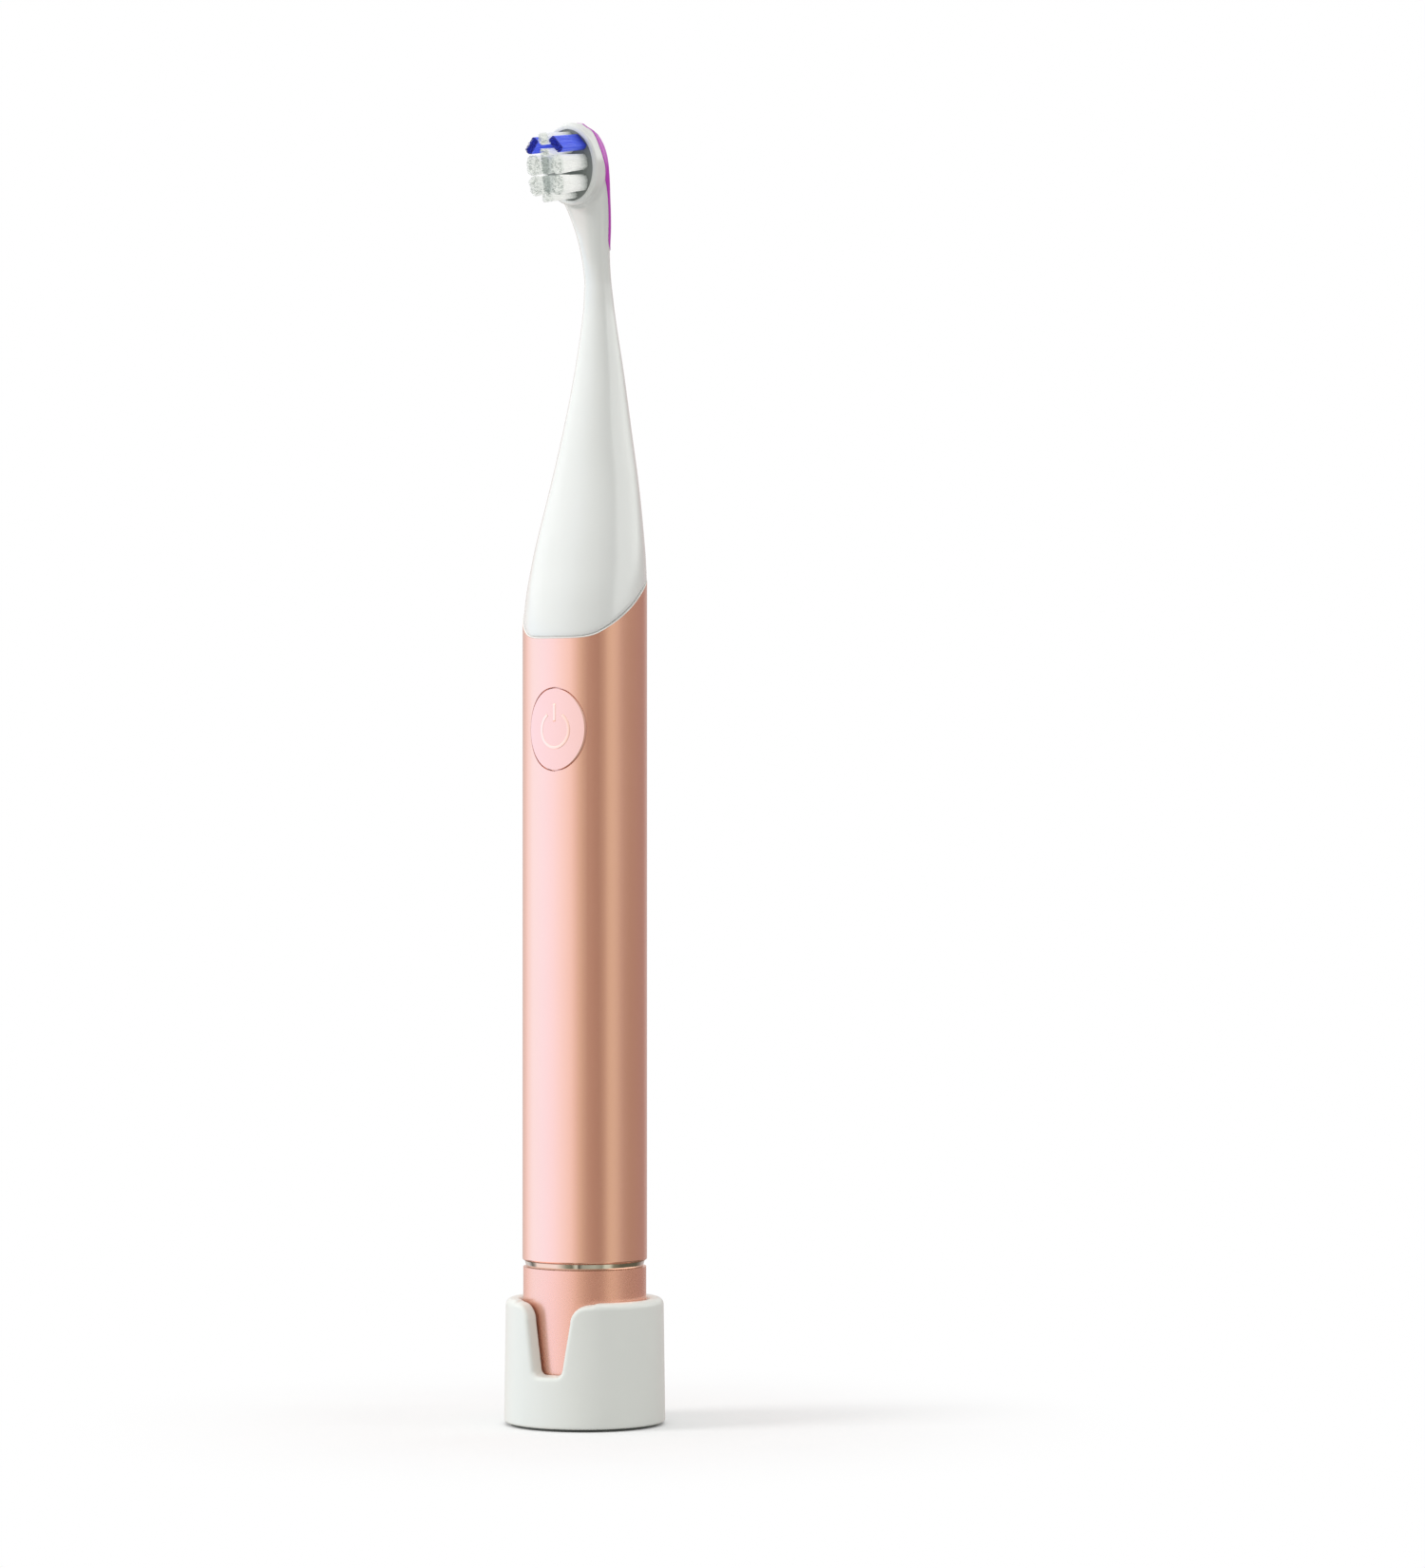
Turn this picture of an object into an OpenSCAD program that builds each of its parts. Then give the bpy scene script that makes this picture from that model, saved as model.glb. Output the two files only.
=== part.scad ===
// Electric toothbrush standing in its cup charger.
// Millimetres, +Z up. The origin is the centre of the charger's foot, the
// front of the brush (button and bristles) faces -Y.

/* [Charger cup] */
// Outer radius of the cup at its foot
cup_base_r = 15.5; // [14.8:0.1:18]
// Outer radius of the cup at its rim
cup_rim_r = 15.2; // [14.4:0.05:17]
// Height of the cup's rim above the surface it stands on
cup_h = 24.3; // [21:0.1:28]
// Rounding of the rim's outer edge
rim_round = 1.3; // [0.6:0.1:1.6]
// Rounding of the rim's inner edge
mouth_round = 0.9; // [0.4:0.1:1.1]
// Thickness of the floor under the socket
floor_t = 1.5; // [1:0.1:2]
// Height of the electronics bay under the floor
bay_h = 4.8; // [4.8:0.1:6]
// Radial room between the brush's base cap and the socket
socket_gap = 0.35; // [0.25:0.05:0.6]
// Width of the front notch at its sill
notch_w = 4.8; // [4.2:0.1:10]
// Width of the front notch near the rim
notch_mouth_w = 7.6; // [6.4:0.1:12]
// Height of the notch's sill above the socket floor
notch_sill = 1.6; // [0.6:0.1:4]
// Radius of the notch's lower corners
notch_corner_r = 1.2; // [0.6:0.1:2]
// Radius where the notch runs out into the rim
notch_flare_r = 3.8; // [1:0.1:4.5]
// Radius of the charging post
post_r = 4.2; // [3.9:0.1:4.8]
// Height of the charging post above the socket floor
post_h = 8; // [6:0.5:10]
// Wall of the charging post
post_wall = 1.3; // [1.1:0.05:1.4]
// Depth of the keying flat on the charging post
post_key = 0.6; // [0.4:0.05:0.7]

/* [Charger base] */
// Thickness of the rubber foot pad
foot_t = 1.2; // [0.8:0.1:2]
// Height by which the pad holds the cup off the table
foot_lift = 0.5; // [0.3:0.1:0.7]
// Thickness of the bottom cover
cover_t = 1.5; // [1.2:0.1:2.5]
// Radius on which the cover's screws sit
screw_pitch_r = 9.3; // [9:0.1:9.5]
// Radius of the cover screws' shanks
screw_r = 0.75; // [0.6:0.05:0.8]
// Thickness of the charger's circuit board
base_board_t = 1.0; // [0.8:0.1:1.2]
// Width of the power inlet's metal shell
inlet_w = 8.94; // [8.5:0.02:9.2]
// Height of the power inlet's metal shell
inlet_h = 3.1; // [2.9:0.05:3.2]
// Depth of the power inlet's metal shell
inlet_d = 7.3; // [6.5:0.1:7.6]

/* [Handle] */
// Outer radius of the handle tube
handle_r = 12; // [11.5:0.1:12.4]
// Wall of the handle tube
tube_wall = 0.9; // [0.7:0.05:1.1]
// Length of the handle tube at the front, below the seam
tube_h = 119.4; // [118:0.1:150]
// Step from the tube's radius in to the base cap's
cap_step = 0.15; // [0:0.05:0.3]
// Height of the base cap's outer wall
cap_h = 21.3; // [18:0.1:26]
// Wall of the base cap
cap_wall = 1.4; // [1:0.1:1.6]
// Height of the trim ring
ring_h = 1.3; // [0.6:0.1:2]
// Step from the tube's radius in to the trim ring's
ring_step = 0.45; // [0.2:0.05:0.6]
// How far the trim ring's face slants in towards its lower edge
ring_slant = 0.28; // [0:0.02:0.4]
// Length of the spigot that holds the cap in the tube
spigot_h = 7; // [5:0.5:9]
// Radius of the base O-ring's section
oring_r = 0.55; // [0.4:0.05:0.6]

/* [Power button] */
// Width of the button
button_w = 11.7; // [9:0.1:12]
// Height of the button
button_h = 15.5; // [12:0.1:17]
// Distance of the button's centre below the seam
button_drop = 17.5; // [15:0.5:20]
// Radius of the button's flattened face
button_face_r = 14; // [13:0.5:20]
// How far the button stands proud of the tube
button_proud = 0.05; // [0:0.01:0.2]
// Gap round the button
button_gap = 0.3; // [0.2:0.05:0.4]
// Travel of the button when pressed
button_travel = 0.4; // [0.2:0.05:0.4]

/* [Drive and battery] */
// Diameter of the battery cell
cell_d = 14; // [10:0.5:14]
// Length of the battery cell
cell_l = 50; // [44:1:52]
// Outer radius of the drive motor
motor_r = 5.8; // [5.6:0.05:6.4]
// Length of the drive motor
motor_l = 36; // [34:1:37]
// Radius of the drive shaft
shaft_r = 1.75; // [1.5:0.05:2]
// Height of the shaft's tip above the seam
shaft_reach = 25.2; // [22:0.2:25.6]
// Running gap between the shaft and its bushings
shaft_fit = 0.04; // [0.02:0.01:0.08]
// Depth of the flat that keys the head to the shaft
shaft_key = 0.5; // [0.3:0.05:0.6]
// Radius of the torsion bar that centres the shaft
torsion_r = 0.6; // [0.4:0.05:0.7]
// Thickness of the main circuit board
board_t = 0.8; // [0.6:0.1:1.2]
// Width of the main circuit board
board_w = 10; // [9.4:0.1:10.2]

/* [Seam between handle and head] */
// Slope of the seam's straight part, in degrees
seam_slope = 38.3; // [30:0.1:40]
// Radius of the seam's curve at the front
seam_front_r = 5; // [3:0.1:6]
// Radius of the seam's curve at the back
seam_back_r = 24; // [20:0.5:30]
// Vertical gap along the seam
seam_gap = 0.38; // [0.34:0.02:0.5]

/* [Brush head] */
// Height of the head above the seam's front
head_h = 98.5; // [94:0.5:104]
// Height of the neck's thinnest place above the seam's front
neck_h = 69.3; // [66:0.3:71]
// Half width of the neck at its thinnest place
neck_half_w = 2.62; // [2.4:0.02:3]
// Front of the neck at its thinnest place, behind the handle's axis
neck_front = 2.7; // [2:0.1:3.2]
// Back of the neck at its thinnest place, behind the handle's axis
neck_back = 7.7; // [7.2:0.1:8.4]
// Wall of the head's hollow foot
head_wall = 1.4; // [1.2:0.1:1.5]
// Width of the bristle end
dish_w = 12.1; // [11.6:0.1:13]
// Height of the bristle end
dish_h = 15.6; // [15:0.1:17]
// Thickness of the bristle end, front to back
dish_t = 6.6; // [6:0.1:7.4]
// Distance of the bristle face in front of the handle's axis
face_front = 6.3; // [5.6:0.1:7]
// Forward tilt of the bristle face, in degrees
face_tilt = 9; // [5:0.5:12]
// White rim left round the bristle plate
plate_rim = 1.0; // [0.8:0.05:1.2]
// Thickness of the bristle plate
plate_t = 1.4; // [1:0.1:2]
// Depth of the bristle plate below the rim
plate_sink = 0.3; // [0.1:0.05:0.5]
// Free length of the bristles
bristle_l = 9.5; // [8:0.1:11]
// Thickness of the soft pad on the back of the head
pad_t = 0.8; // [0.6:0.05:1]

/* [Hidden] */

// Colours
white_plastic = [0.93, 0.94, 0.92];
rose_gold = [0.86, 0.66, 0.56];
button_pink = [0.93, 0.74, 0.68];
dark_plastic = [0.2, 0.2, 0.22];
board_green = [0.1, 0.35, 0.2];
rubber_grey = [0.35, 0.35, 0.37];
copper = [0.72, 0.42, 0.22];
ferrite = [0.17, 0.17, 0.18];
steel = [0.75, 0.76, 0.78];
brass = [0.8, 0.66, 0.36];
pad_magenta = [0.75, 0.25, 0.75];
plate_grey = [0.55, 0.57, 0.56];
bristle_blue = [0.25, 0.3, 0.85];
bristle_white = [0.97, 0.97, 0.96];
bristle_clear = [0.8, 0.82, 0.82];

// Fits shared by several pieces
slip = 0.05;          // a piece slid into the one that carries it
seat = 0.3;           // a piece that rests next to its neighbour
nib = 0.01;           // overshoot of a cut through a flat face
smooth = 96;          // facets round a turned piece

// Heights, from the table up
cover_z = foot_t;
bay_z = cover_z + cover_t;
bay_top = bay_z + bay_h;
socket_z = bay_top + floor_t;
notch_z = socket_z + notch_sill;
ring_z = socket_z + cap_h;
tube_z = ring_z + ring_h;
seam_z = tube_z + tube_h;
spigot_z = ring_z + spigot_h;
button_z = seam_z - button_drop;
shaft_tip_z = seam_z + shaft_reach;
head_top_z = seam_z + head_h;
neck_z = seam_z + neck_h;

// Radii that follow from the driving ones
cap_r = handle_r - cap_step;
ring_r = handle_r - ring_step;
tube_bore_r = handle_r - tube_wall;
spigot_r = tube_bore_r - slip * 2;
socket_r = cap_r + socket_gap;

// Lower end of the seam's straight part, and its height on the axis
seam_foot_y = -handle_r + seam_front_r * sin(seam_slope);
seam_foot_h = seam_front_r * (1 - cos(seam_slope));
seam_axis_h = seam_foot_h - seam_foot_y * tan(seam_slope);

// Inside of the charger
skirt_t = 0.8;                            // cup wall beside the foot pad
pad_r = cup_base_r - skirt_t - 0.2;
cover_seat_r = cup_base_r - skirt_t - 0.9;
bay_r = cover_seat_r - 1.3;
board_rest_h = 0.6;                       // ring of the cover under the board
base_board_z = bay_z + board_rest_h;
base_board_top = base_board_z + base_board_t;
boss_r = 1.9;
boss_tip_r = 1.35;
screw_head_r = screw_r * 2;
screw_head_h = 0.75;
screw_angles = [30, 150, 270];
inlet_wall = 0.3;
inlet_back_t = 0.5;
inlet_mouth_y = cup_base_r - 0.7;
inlet_z = base_board_top + inlet_h / 2;
post_flat_y = -(post_r - post_key);
post_bore_r = post_r - post_wall;
core_r = 1.4;
core_flange_r = post_bore_r - seat;
core_flange_t = 0.8;
core_top_z = socket_z + post_h - 1.3;

// Inside of the base cap
key_gap = 0.4;                            // room between the post and its recess
recess_r = post_r + key_gap;
recess_flat_y = post_flat_y - key_gap;
recess_wall = 1.2;
recess_top_z = socket_z + post_h + 0.7;
cap_floor_t = 1.4;
cap_bore_r = cap_r - cap_wall;
spigot_bore_r = spigot_r - 2;
groove_z = ring_z + spigot_h * 0.55;
groove_r = spigot_r - oring_r * 2 - slip / 2;
coil_in_r = recess_r + recess_wall + slip * 2;
coil_out_r = coil_in_r + 2.5;
coil_z = socket_z + cap_floor_t + slip * 2;
coil_h = post_h - 2;
shield_r = cap_bore_r - seat;
shield_t = 0.8;

// Soft frame behind the button's window
gasket_grow = 0.85;
gasket_band = 0.9;
gasket_t = 0.8;
window_w = button_w + (gasket_grow + gasket_band + slip) * 2;
window_h = button_h + (gasket_grow + gasket_band + slip) * 2;

// Carrier and what it holds
carrier_r = tube_bore_r - seat;
carrier_wall = 1.1;
carrier_bore_r = carrier_r - carrier_wall;
carrier_z = spigot_z;
bulkhead_t = 2.4;
tab_t = 0.3;
cell_r = cell_d / 2;
cell_z = carrier_z + bulkhead_t + tab_t + slip * 2;
cell_y = carrier_bore_r - cell_r - seat;
middle_z = cell_z + cell_l + tab_t + slip * 2;
middle_t = 4;
motor_z = middle_z + middle_t;
motor_top = motor_z + motor_l;
upper_t = 3;
nose_z = button_z + button_h / 2 + gasket_grow + gasket_band + seat;
motor_gap = 0.4;                          // room between the motor and the board
board_back_y = -(motor_r + motor_gap);
board_front_y = board_back_y - board_t;
rail_in_x = board_w / 2 - 0.8;
board_z = carrier_z + bulkhead_t + 2;
board_top_z = nose_z - 2;
board_screw_x = 3;
board_screw_r = 0.5;
board_screw_head_r = 1.0;
board_screw_head_h = 0.6;
board_screw_z = middle_z + middle_t / 2;
rail_t = 1.5;
strap_h = 3;

// Chips on the board: [share across it, share up it, width, length, thickness]
chips = [
    [0, 0.12, 4, 4, 0.8],
    [-0.26, 0.27, 2.6, 3, 1],
    [0.24, 0.27, 3, 5, 0.9],
    [0, 0.62, 5, 5, 0.9],
    [-0.24, 0.73, 2.2, 3, 0.7],
    [0.24, 0.73, 2.2, 3, 0.7],
];

// Switch and button
switch_w = 4.8;
switch_t = 1.1;
switch_front_y = board_front_y - switch_t;
plunger_r = 1.1;
plunger_proud = button_travel + 0.2;
plunger_l = plunger_proud + 0.4;
plunger_tip_y = switch_front_y - plunger_proud;
stem_r = plunger_r + 0.4;
flange_out_r = tube_bore_r - 0.35;
flange_t = 0.7;
flange_grow = 0.6;
button_back_r = flange_out_r - flange_t;

// Motor
can_wall = 0.5;
can_end_t = 1.0;
bushing_r = 3.4;
bushing_l = 3;
bushing_floor_t = 0.6;
bushing_holder_r = bushing_r + 1;
stator_t = 0.9;
winding_r = motor_r - can_wall - stator_t - slip * 2;
winding_t = 1.05;
coil_bore_r = winding_r - winding_t;
rotor_r = coil_bore_r - 0.4;
rotor_inset = 7;
stator_inset = 5;
shaft_foot_z = motor_z + bushing_floor_t + 0.3;
torsion_socket = 4;
key_l = 10.5;

// Nose
nose_r = tube_bore_r - slip;
nose_wall = 1.5;
nose_sink = 0.4;
nose_t = 1.8;
nose_boss_r = 4.6;
seal_r = 3.8;
seal_h = 3.3;
seal_top_z = seam_z + 1.7;
seal_z = seal_top_z - seal_h;

// Head
hub_r = 3.2;
hub_z = seam_z + seam_axis_h + (hub_r + 1.4) * tan(seam_slope);
hub_top_z = shaft_tip_z + 2;
hub_rib_t = 1.0;
hub_rib_h = 8;
hub_rib_reach = handle_r * 0.62;
clip_z = hub_z + hub_rib_h + 1;
clip_t = 0.4;
clip_h = 3;
clip_open_w = 3;
dish_half_w = dish_w / 2;
dish_half_h = dish_h / 2;
face_z = head_top_z - dish_half_h * cos(face_tilt);
plate_half_w = dish_half_w - plate_rim;
plate_half_h = dish_half_h - plate_rim;
face_y = -face_front;

// Foot of the head: [share of the neck's height, front, back, width], where
// the last three run from the handle's outline (0) to the neck's (1)
taper = [
    [-0.03, 0, 0, 0],
    [0, 0, 0, 0],
    [0.058, 0.03, 0, 0.006],
    [0.126, 0.095, 0, 0.03],
    [0.188, 0.185, 0, 0.064],
    [0.268, 0.295, 0, 0.14],
    [0.428, 0.53, 0.01, 0.345],
    [0.587, 0.7, 0.07, 0.575],
    [0.746, 0.87, 0.34, 0.765],
    [0.906, 0.98, 0.74, 0.94],
    [1, 1, 1, 1],
];
// Bend from the neck to the bristle end, in the same form: from the neck's
// outline (0) to the bristle end's (1)
bend = [
    [0, 0, 0, 0],
    [0.16, 0.1, 0.09, 0.03],
    [0.32, 0.24, 0.17, 0.13],
    [0.46, 0.38, 0.24, 0.29],
    [0.6, 0.58, 0.38, 0.48],
    [0.74, 0.82, 0.58, 0.7],
    [0.87, 0.96, 0.8, 0.9],
    [1, 1, 1, 1],
];
// Crown of the back above the face's centre, in the same form: from the
// bristle end's outline there (0) to the top of the head (1)
crown = [
    [0, 0, 0, 0],
    [0.25, 0.1, 0.08, 0.05],
    [0.5, 0.25, 0.2, 0.16],
    [0.72, 0.5, 0.36, 0.33],
    [0.88, 0.8, 0.58, 0.54],
    [1, 1, 1, 1],
];
// Depth below the face and size of the rim's rings, as shares of the bristle
// end's thickness and of its outline
dish_rings = [
    [0, 0.95], [0.03, 0.985], [0.07, 1], [0.36, 1], [0.48, 0.965], [0.58, 0.86], [0.64, 0.68],
];
// Front edge of the back pad, seen from the side: [share of the way from the
// pad's lower end to the top of the head, share from the back to the face]
pad_edge = [
    [0, 0], [0.01, 0.16], [0.03, 0.32], [0.07, 0.42], [0.15, 0.47], [0.3, 0.5], [0.47, 0.55],
    [0.65, 0.63], [0.8, 0.74], [0.92, 0.82], [1, 0.84],
];
pad_z = mix(neck_z, face_z, 0.27);

// Bristle tufts: [across, up, width, height, turn] on the bristle face
blue_tufts = [[2.6, 4.25, 1.6, 3.3, 38], [-2.6, 4.25, 1.6, 3.3, -38]];
white_tufts = [
    [0, 5.45, 2.1, 2, 0],
    [0, 2.85, 1.9, 1.3, 0],
    [2.6, 0.5, 2.7, 3.1, 0],
    [-2.6, 0.5, 2.7, 3.1, 0],
    [2.45, -3.45, 2.4, 3, -9],
    [-2.45, -3.45, 2.4, 3, 9],
    [0, -5.75, 2.3, 1.4, 0],
];
clear_tufts = [[0, 0.4, 1.7, 2.8, 0], [0, -3.2, 1.6, 2.8, 0]];

// Points of an arc round [x, y], from angle a0 to a1
function arc(x, y, r, a0, a1, n = 8) =
    [for (i = [0:n]) let (a = a0 + (a1 - a0) * i / n) [x + r * cos(a), y + r * sin(a)]];

// Points of an ellipse
function oval(a, b, n = 64) = [for (i = [0:n - 1]) [a * cos(i * 360 / n), b * sin(i * 360 / n)]];

// Points of a rectangle with round corners
function round_box(w, h, r, n = 4) = concat(
    arc(w / 2 - r, h / 2 - r, r, 0, 90, n), arc(r - w / 2, h / 2 - r, r, 90, 180, n),
    arc(r - w / 2, r - h / 2, r, 180, 270, n), arc(w / 2 - r, r - h / 2, r, 270, 360, n));

// Value between a and b
function mix(a, b, k) = a + (b - a) * k;

// Smooth curve through a column of a table whose first column rises
function tilt_at(t, c, i) = let (lo = max(i - 1, 0), hi = min(i + 1, len(t) - 1))
    (t[hi][c] - t[lo][c]) / (t[hi][0] - t[lo][0]);
function row_at(t, x) = max([0, for (i = [0:len(t) - 2]) if (t[i][0] <= x) i]);
function glide(t, c, x) = let (
    i = row_at(t, x),
    span = t[i + 1][0] - t[i][0],
    k = min(max((x - t[i][0]) / span, 0), 1),
    rise = k * k * (3 - 2 * k))
    mix(t[i][c], t[i + 1][c], rise)
    + span * tilt_at(t, c, i) * k * (1 - k) * (1 - k)
    - span * tilt_at(t, c, i + 1) * k * k * (1 - k);

// Height of the seam above its lowest point, at y from the axis
function seam_at(y) =
    y < -handle_r ? 0 :
    y < seam_foot_y ? seam_front_r - sqrt(pow(seam_front_r, 2) - pow(y + handle_r, 2)) :
    y < 0 ? seam_foot_h + (y - seam_foot_y) * tan(seam_slope) :
    seam_axis_h + sqrt(pow(seam_back_r, 2) - pow(y - seam_back_r * sin(seam_slope), 2))
        - seam_back_r * cos(seam_slope);
seam_steps = concat(
    [for (i = [0:8]) mix(-handle_r, seam_foot_y, i / 8)],
    [for (i = [0:10]) mix(0, handle_r + 0.6, i / 10)]);

// Everything below the seam, shifted up by lift
module below_seam(lift) {
    depth = seam_z - socket_z;
    side = handle_r + 2;
    top = [for (y = seam_steps) [y, seam_at(y) + lift]];
    last = top[len(top) - 1];
    outline = concat([[-side, -depth], [-side, lift]], top, [[side, last[1]], [side, -depth]]);
    translate([0, 0, seam_z])
        rotate([90, 0, 90])
            linear_extrude(height = side * 2, center = true)
                polygon(outline);
}

// Closed skin through a stack of rings, each a list of points
module loft(rings) {
    n = len(rings[0]);
    last = len(rings) - 1;
    points = [for (ring = rings) each ring];
    sides = [for (k = [0:last - 1]) for (i = [0:n - 1])
        let (j = (i + 1) % n, a = k * n, b = a + n)
        each [[a + i, b + i, b + j], [a + i, b + j, a + j]]];
    ends = [[for (i = [0:n - 1]) i], [for (i = [n - 1:-1:0]) last * n + i]];
    polyhedron(points, concat(sides, ends));
}

// Heights at which the head's foot, neck and back are cut into rings
head_levels = 40;
head_low_z = seam_z - 1;
crown_z = head_top_z - 0.3;
function level_z(k) = mix(head_low_z, crown_z, k / head_levels);
function level_below(z) = max(floor((z - head_low_z) / (crown_z - head_low_z) * head_levels), 0);

// Front, back and half width of the head at its main heights
foot_size = [-handle_r, handle_r, handle_r];
neck_size = [neck_front, neck_back, neck_half_w];
body_size = [face_y + dish_t * 0.33, face_y + dish_t * 1.05, dish_half_w * 0.985];
tip_size = [face_y + dish_t * 0.1, face_y + dish_t * 0.6, dish_half_w * 0.3];

// One ring of the head's foot, neck and back, shrunk by inset
function neck_ring(z, inset, n = 40) = let (
    part = z <= neck_z ? 0 : z <= face_z ? 1 : 2,
    t = [taper, bend, crown][part],
    k = [(z - seam_z) / neck_h, (z - neck_z) / (face_z - neck_z), (z - face_z) / (crown_z - face_z)][part],
    from = [foot_size, neck_size, body_size][part],
    to = [neck_size, body_size, tip_size][part],
    front = mix(from[0], to[0], glide(t, 1, k)) + inset,
    back = mix(from[1], to[1], glide(t, 2, k)) - inset,
    half_w = mix(from[2], to[2], glide(t, 3, k)) - inset)
    [for (i = [0:n - 1]) let (a = i * 360 / n)
        [half_w * cos(a), (front + back) / 2 + (back - front) / 2 * sin(a), z]];

// Foot, neck and bend of the head as one skin, between two levels
module neck_form(inset, first = 0, last = head_levels) {
    loft([for (k = [first:last]) neck_ring(level_z(k), inset)]);
}

// Frame of the bristle face: X across, Y up the face, Z along the bristles
module on_face(depth = 0) {
    translate([0, face_y, face_z])
        rotate([90 + face_tilt, 0, 0])
            translate([0, 0, depth])
                children();
}

// Bristle end, from its back to the face, shrunk by inset
module dish_form(inset) {
    rows = len(dish_rings) - 1;
    on_face()
        loft([for (k = [rows:-1:0]) let (size = dish_rings[k][1])
            [for (p = oval(dish_half_w * size - inset, dish_half_h * size - inset, 48))
                [p[0], p[1], min(-dish_rings[k][0] * dish_t + inset, 0)]]]);
}

// Whole outer form of the head, from the given level up
module head_form(inset, first = 0) {
    neck_form(inset, first);
    dish_form(inset);
}

// Back of the head from the neck to the bristle end
function back_at(z) = mix(neck_back, body_size[1], glide(bend, 2, (z - neck_z) / (face_z - neck_z)));

// Back of the head, where the soft pad lies
module pad_zone() {
    reach = head_top_z + 1 - pad_z;
    far = handle_r;
    edge = [for (p = pad_edge) let (z = pad_z + p[0] * reach)
        [back_at(min(z, face_z)) + 0.3 - p[1] * dish_t * 1.1, z]];
    rotate([90, 0, 90])
        linear_extrude(height = dish_w + 2, center = true)
            polygon(concat([[far, pad_z]], edge, [[far, head_top_z + 1]]));
}

// A bar with round ends, along X, seen from the front
module stadium(w, h, length) {
    rotate([-90, 0, 0]) {
        translate([(h - w) / 2, 0, 0]) cylinder(d = h, h = length, $fn = 40);
        translate([(w - h) / 2, 0, 0]) cylinder(d = h, h = length, $fn = 40);
        translate([(h - w) / 2, -h / 2, 0]) cube([w - h, h, length]);
    }
}

// Ring between two radii
module tube(r_out, r_in, h) {
    difference() {
        cylinder(r = r_out, h = h, $fn = smooth);
        translate([0, 0, -nib]) cylinder(r = r_in, h = h + nib * 2, $fn = smooth);
    }
}

// Outline across the front, cut along Y from y0 to y1
module along_y(y0, y1) {
    translate([0, y1, 0])
        rotate([90, 0, 0])
            linear_extrude(height = y1 - y0)
                children();
}

module at_screws() {
    for (a = screw_angles)
        rotate([0, 0, a]) translate([screw_pitch_r, 0, 0]) children();
}

// ---- Charger ----

// Moulded cup with its socket, hollow charging post and electronics bay
module cup_shell() {
    wall = concat(
        arc(cup_base_r - 0.4, foot_lift + 0.4, 0.4, -90, 0, 3),
        arc(cup_rim_r - rim_round, cup_h - rim_round, rim_round, 0, 90, 8),
        arc(socket_r + mouth_round, cup_h - mouth_round, mouth_round, 90, 180, 6),
        [[socket_r, socket_z], [post_r, socket_z]],
        arc(post_r - 0.6, socket_z + post_h - 0.6, 0.6, 0, 90, 4),
        [[0, socket_z + post_h], [0, core_top_z + slip], [post_bore_r, core_top_z + slip],
         [post_bore_r, bay_top], [bay_r, bay_top], [bay_r, bay_z],
         [cover_seat_r + slip * 2, bay_z], [cover_seat_r + slip * 2, cover_z],
         [pad_r + 0.2, cover_z], [pad_r + 0.2, foot_lift]]);
    half_sill = notch_w / 2;
    half_mouth = notch_mouth_w / 2;
    side = concat(
        arc(half_sill - notch_corner_r, notch_z + notch_corner_r, notch_corner_r, -90, 0, 6),
        arc(half_mouth + notch_flare_r, cup_h - notch_flare_r, notch_flare_r, 180, 90, 6),
        [[half_mouth + notch_flare_r, cup_h + 1]]);
    mirrored = [for (i = [len(side) - 1:-1:0]) [-side[i][0], side[i][1]]];
    color(white_plastic) difference() {
        union() {
            rotate_extrude($fn = smooth) polygon(wall);
            at_screws() {
                translate([0, 0, base_board_top])
                    cylinder(r = boss_r, h = bay_top - base_board_top + floor_t / 2, $fn = 32);
                translate([0, 0, bay_z]) cylinder(r = boss_tip_r, h = bay_h, $fn = 32);
            }
        }
        at_screws() translate([0, 0, bay_z - nib]) cylinder(r = screw_r + slip, h = bay_h - 0.6, $fn = 24);
        along_y(-cup_base_r - 1, -post_r - 3) polygon(concat(side, mirrored));
        translate([-post_r, -post_r * 2, socket_z]) cube([post_r * 2, post_r * 2 + post_flat_y, post_h + 1]);
        translate([0, bay_r - 1, inlet_z]) stadium(inlet_w + slip * 4, inlet_h + slip * 4, cup_base_r);
    }
}

// Round cover that closes the bay, with the ring that holds the board
module bottom_cover() {
    color(white_plastic) difference() {
        union() {
            translate([0, 0, cover_z]) cylinder(r = cover_seat_r, h = cover_t, $fn = smooth);
            translate([0, 0, bay_z]) tube(bay_r - 0.7, screw_pitch_r + boss_tip_r + 0.25, board_rest_h);
        }
        at_screws() {
            translate([0, 0, cover_z - nib])
                cylinder(r = screw_head_r + 0.2, h = screw_head_h + nib, $fn = 32);
            translate([0, 0, cover_z]) cylinder(r = screw_r + 0.2, h = cover_t + nib, $fn = 24);
        }
    }
}

// Rubber disc that hides the screws and carries the charger
module foot_pad() {
    color(rubber_grey) rotate_extrude($fn = smooth)
        polygon(concat([[0, 0]], arc(pad_r - 0.3, 0.3, 0.3, -90, 0, 3), [[pad_r, foot_t], [0, foot_t]]));
}

// Three self-tapping screws
module cover_screws() {
    color(steel) at_screws() {
        translate([0, 0, cover_z + slip]) cylinder(r = screw_head_r, h = screw_head_h - slip, $fn = 32);
        translate([0, 0, cover_z + screw_head_h / 2])
            cylinder(r = screw_r, h = bay_h + cover_t - 2, $fn = 24);
    }
}

// Round circuit board under the floor of the cup
module base_board() {
    color(board_green) difference() {
        translate([0, 0, base_board_z]) cylinder(r = bay_r - 0.4, h = base_board_t, $fn = smooth);
        at_screws() translate([0, 0, base_board_z - nib])
            cylinder(r = boss_tip_r + 0.15, h = base_board_t + nib * 2, $fn = 32);
    }
}

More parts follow.
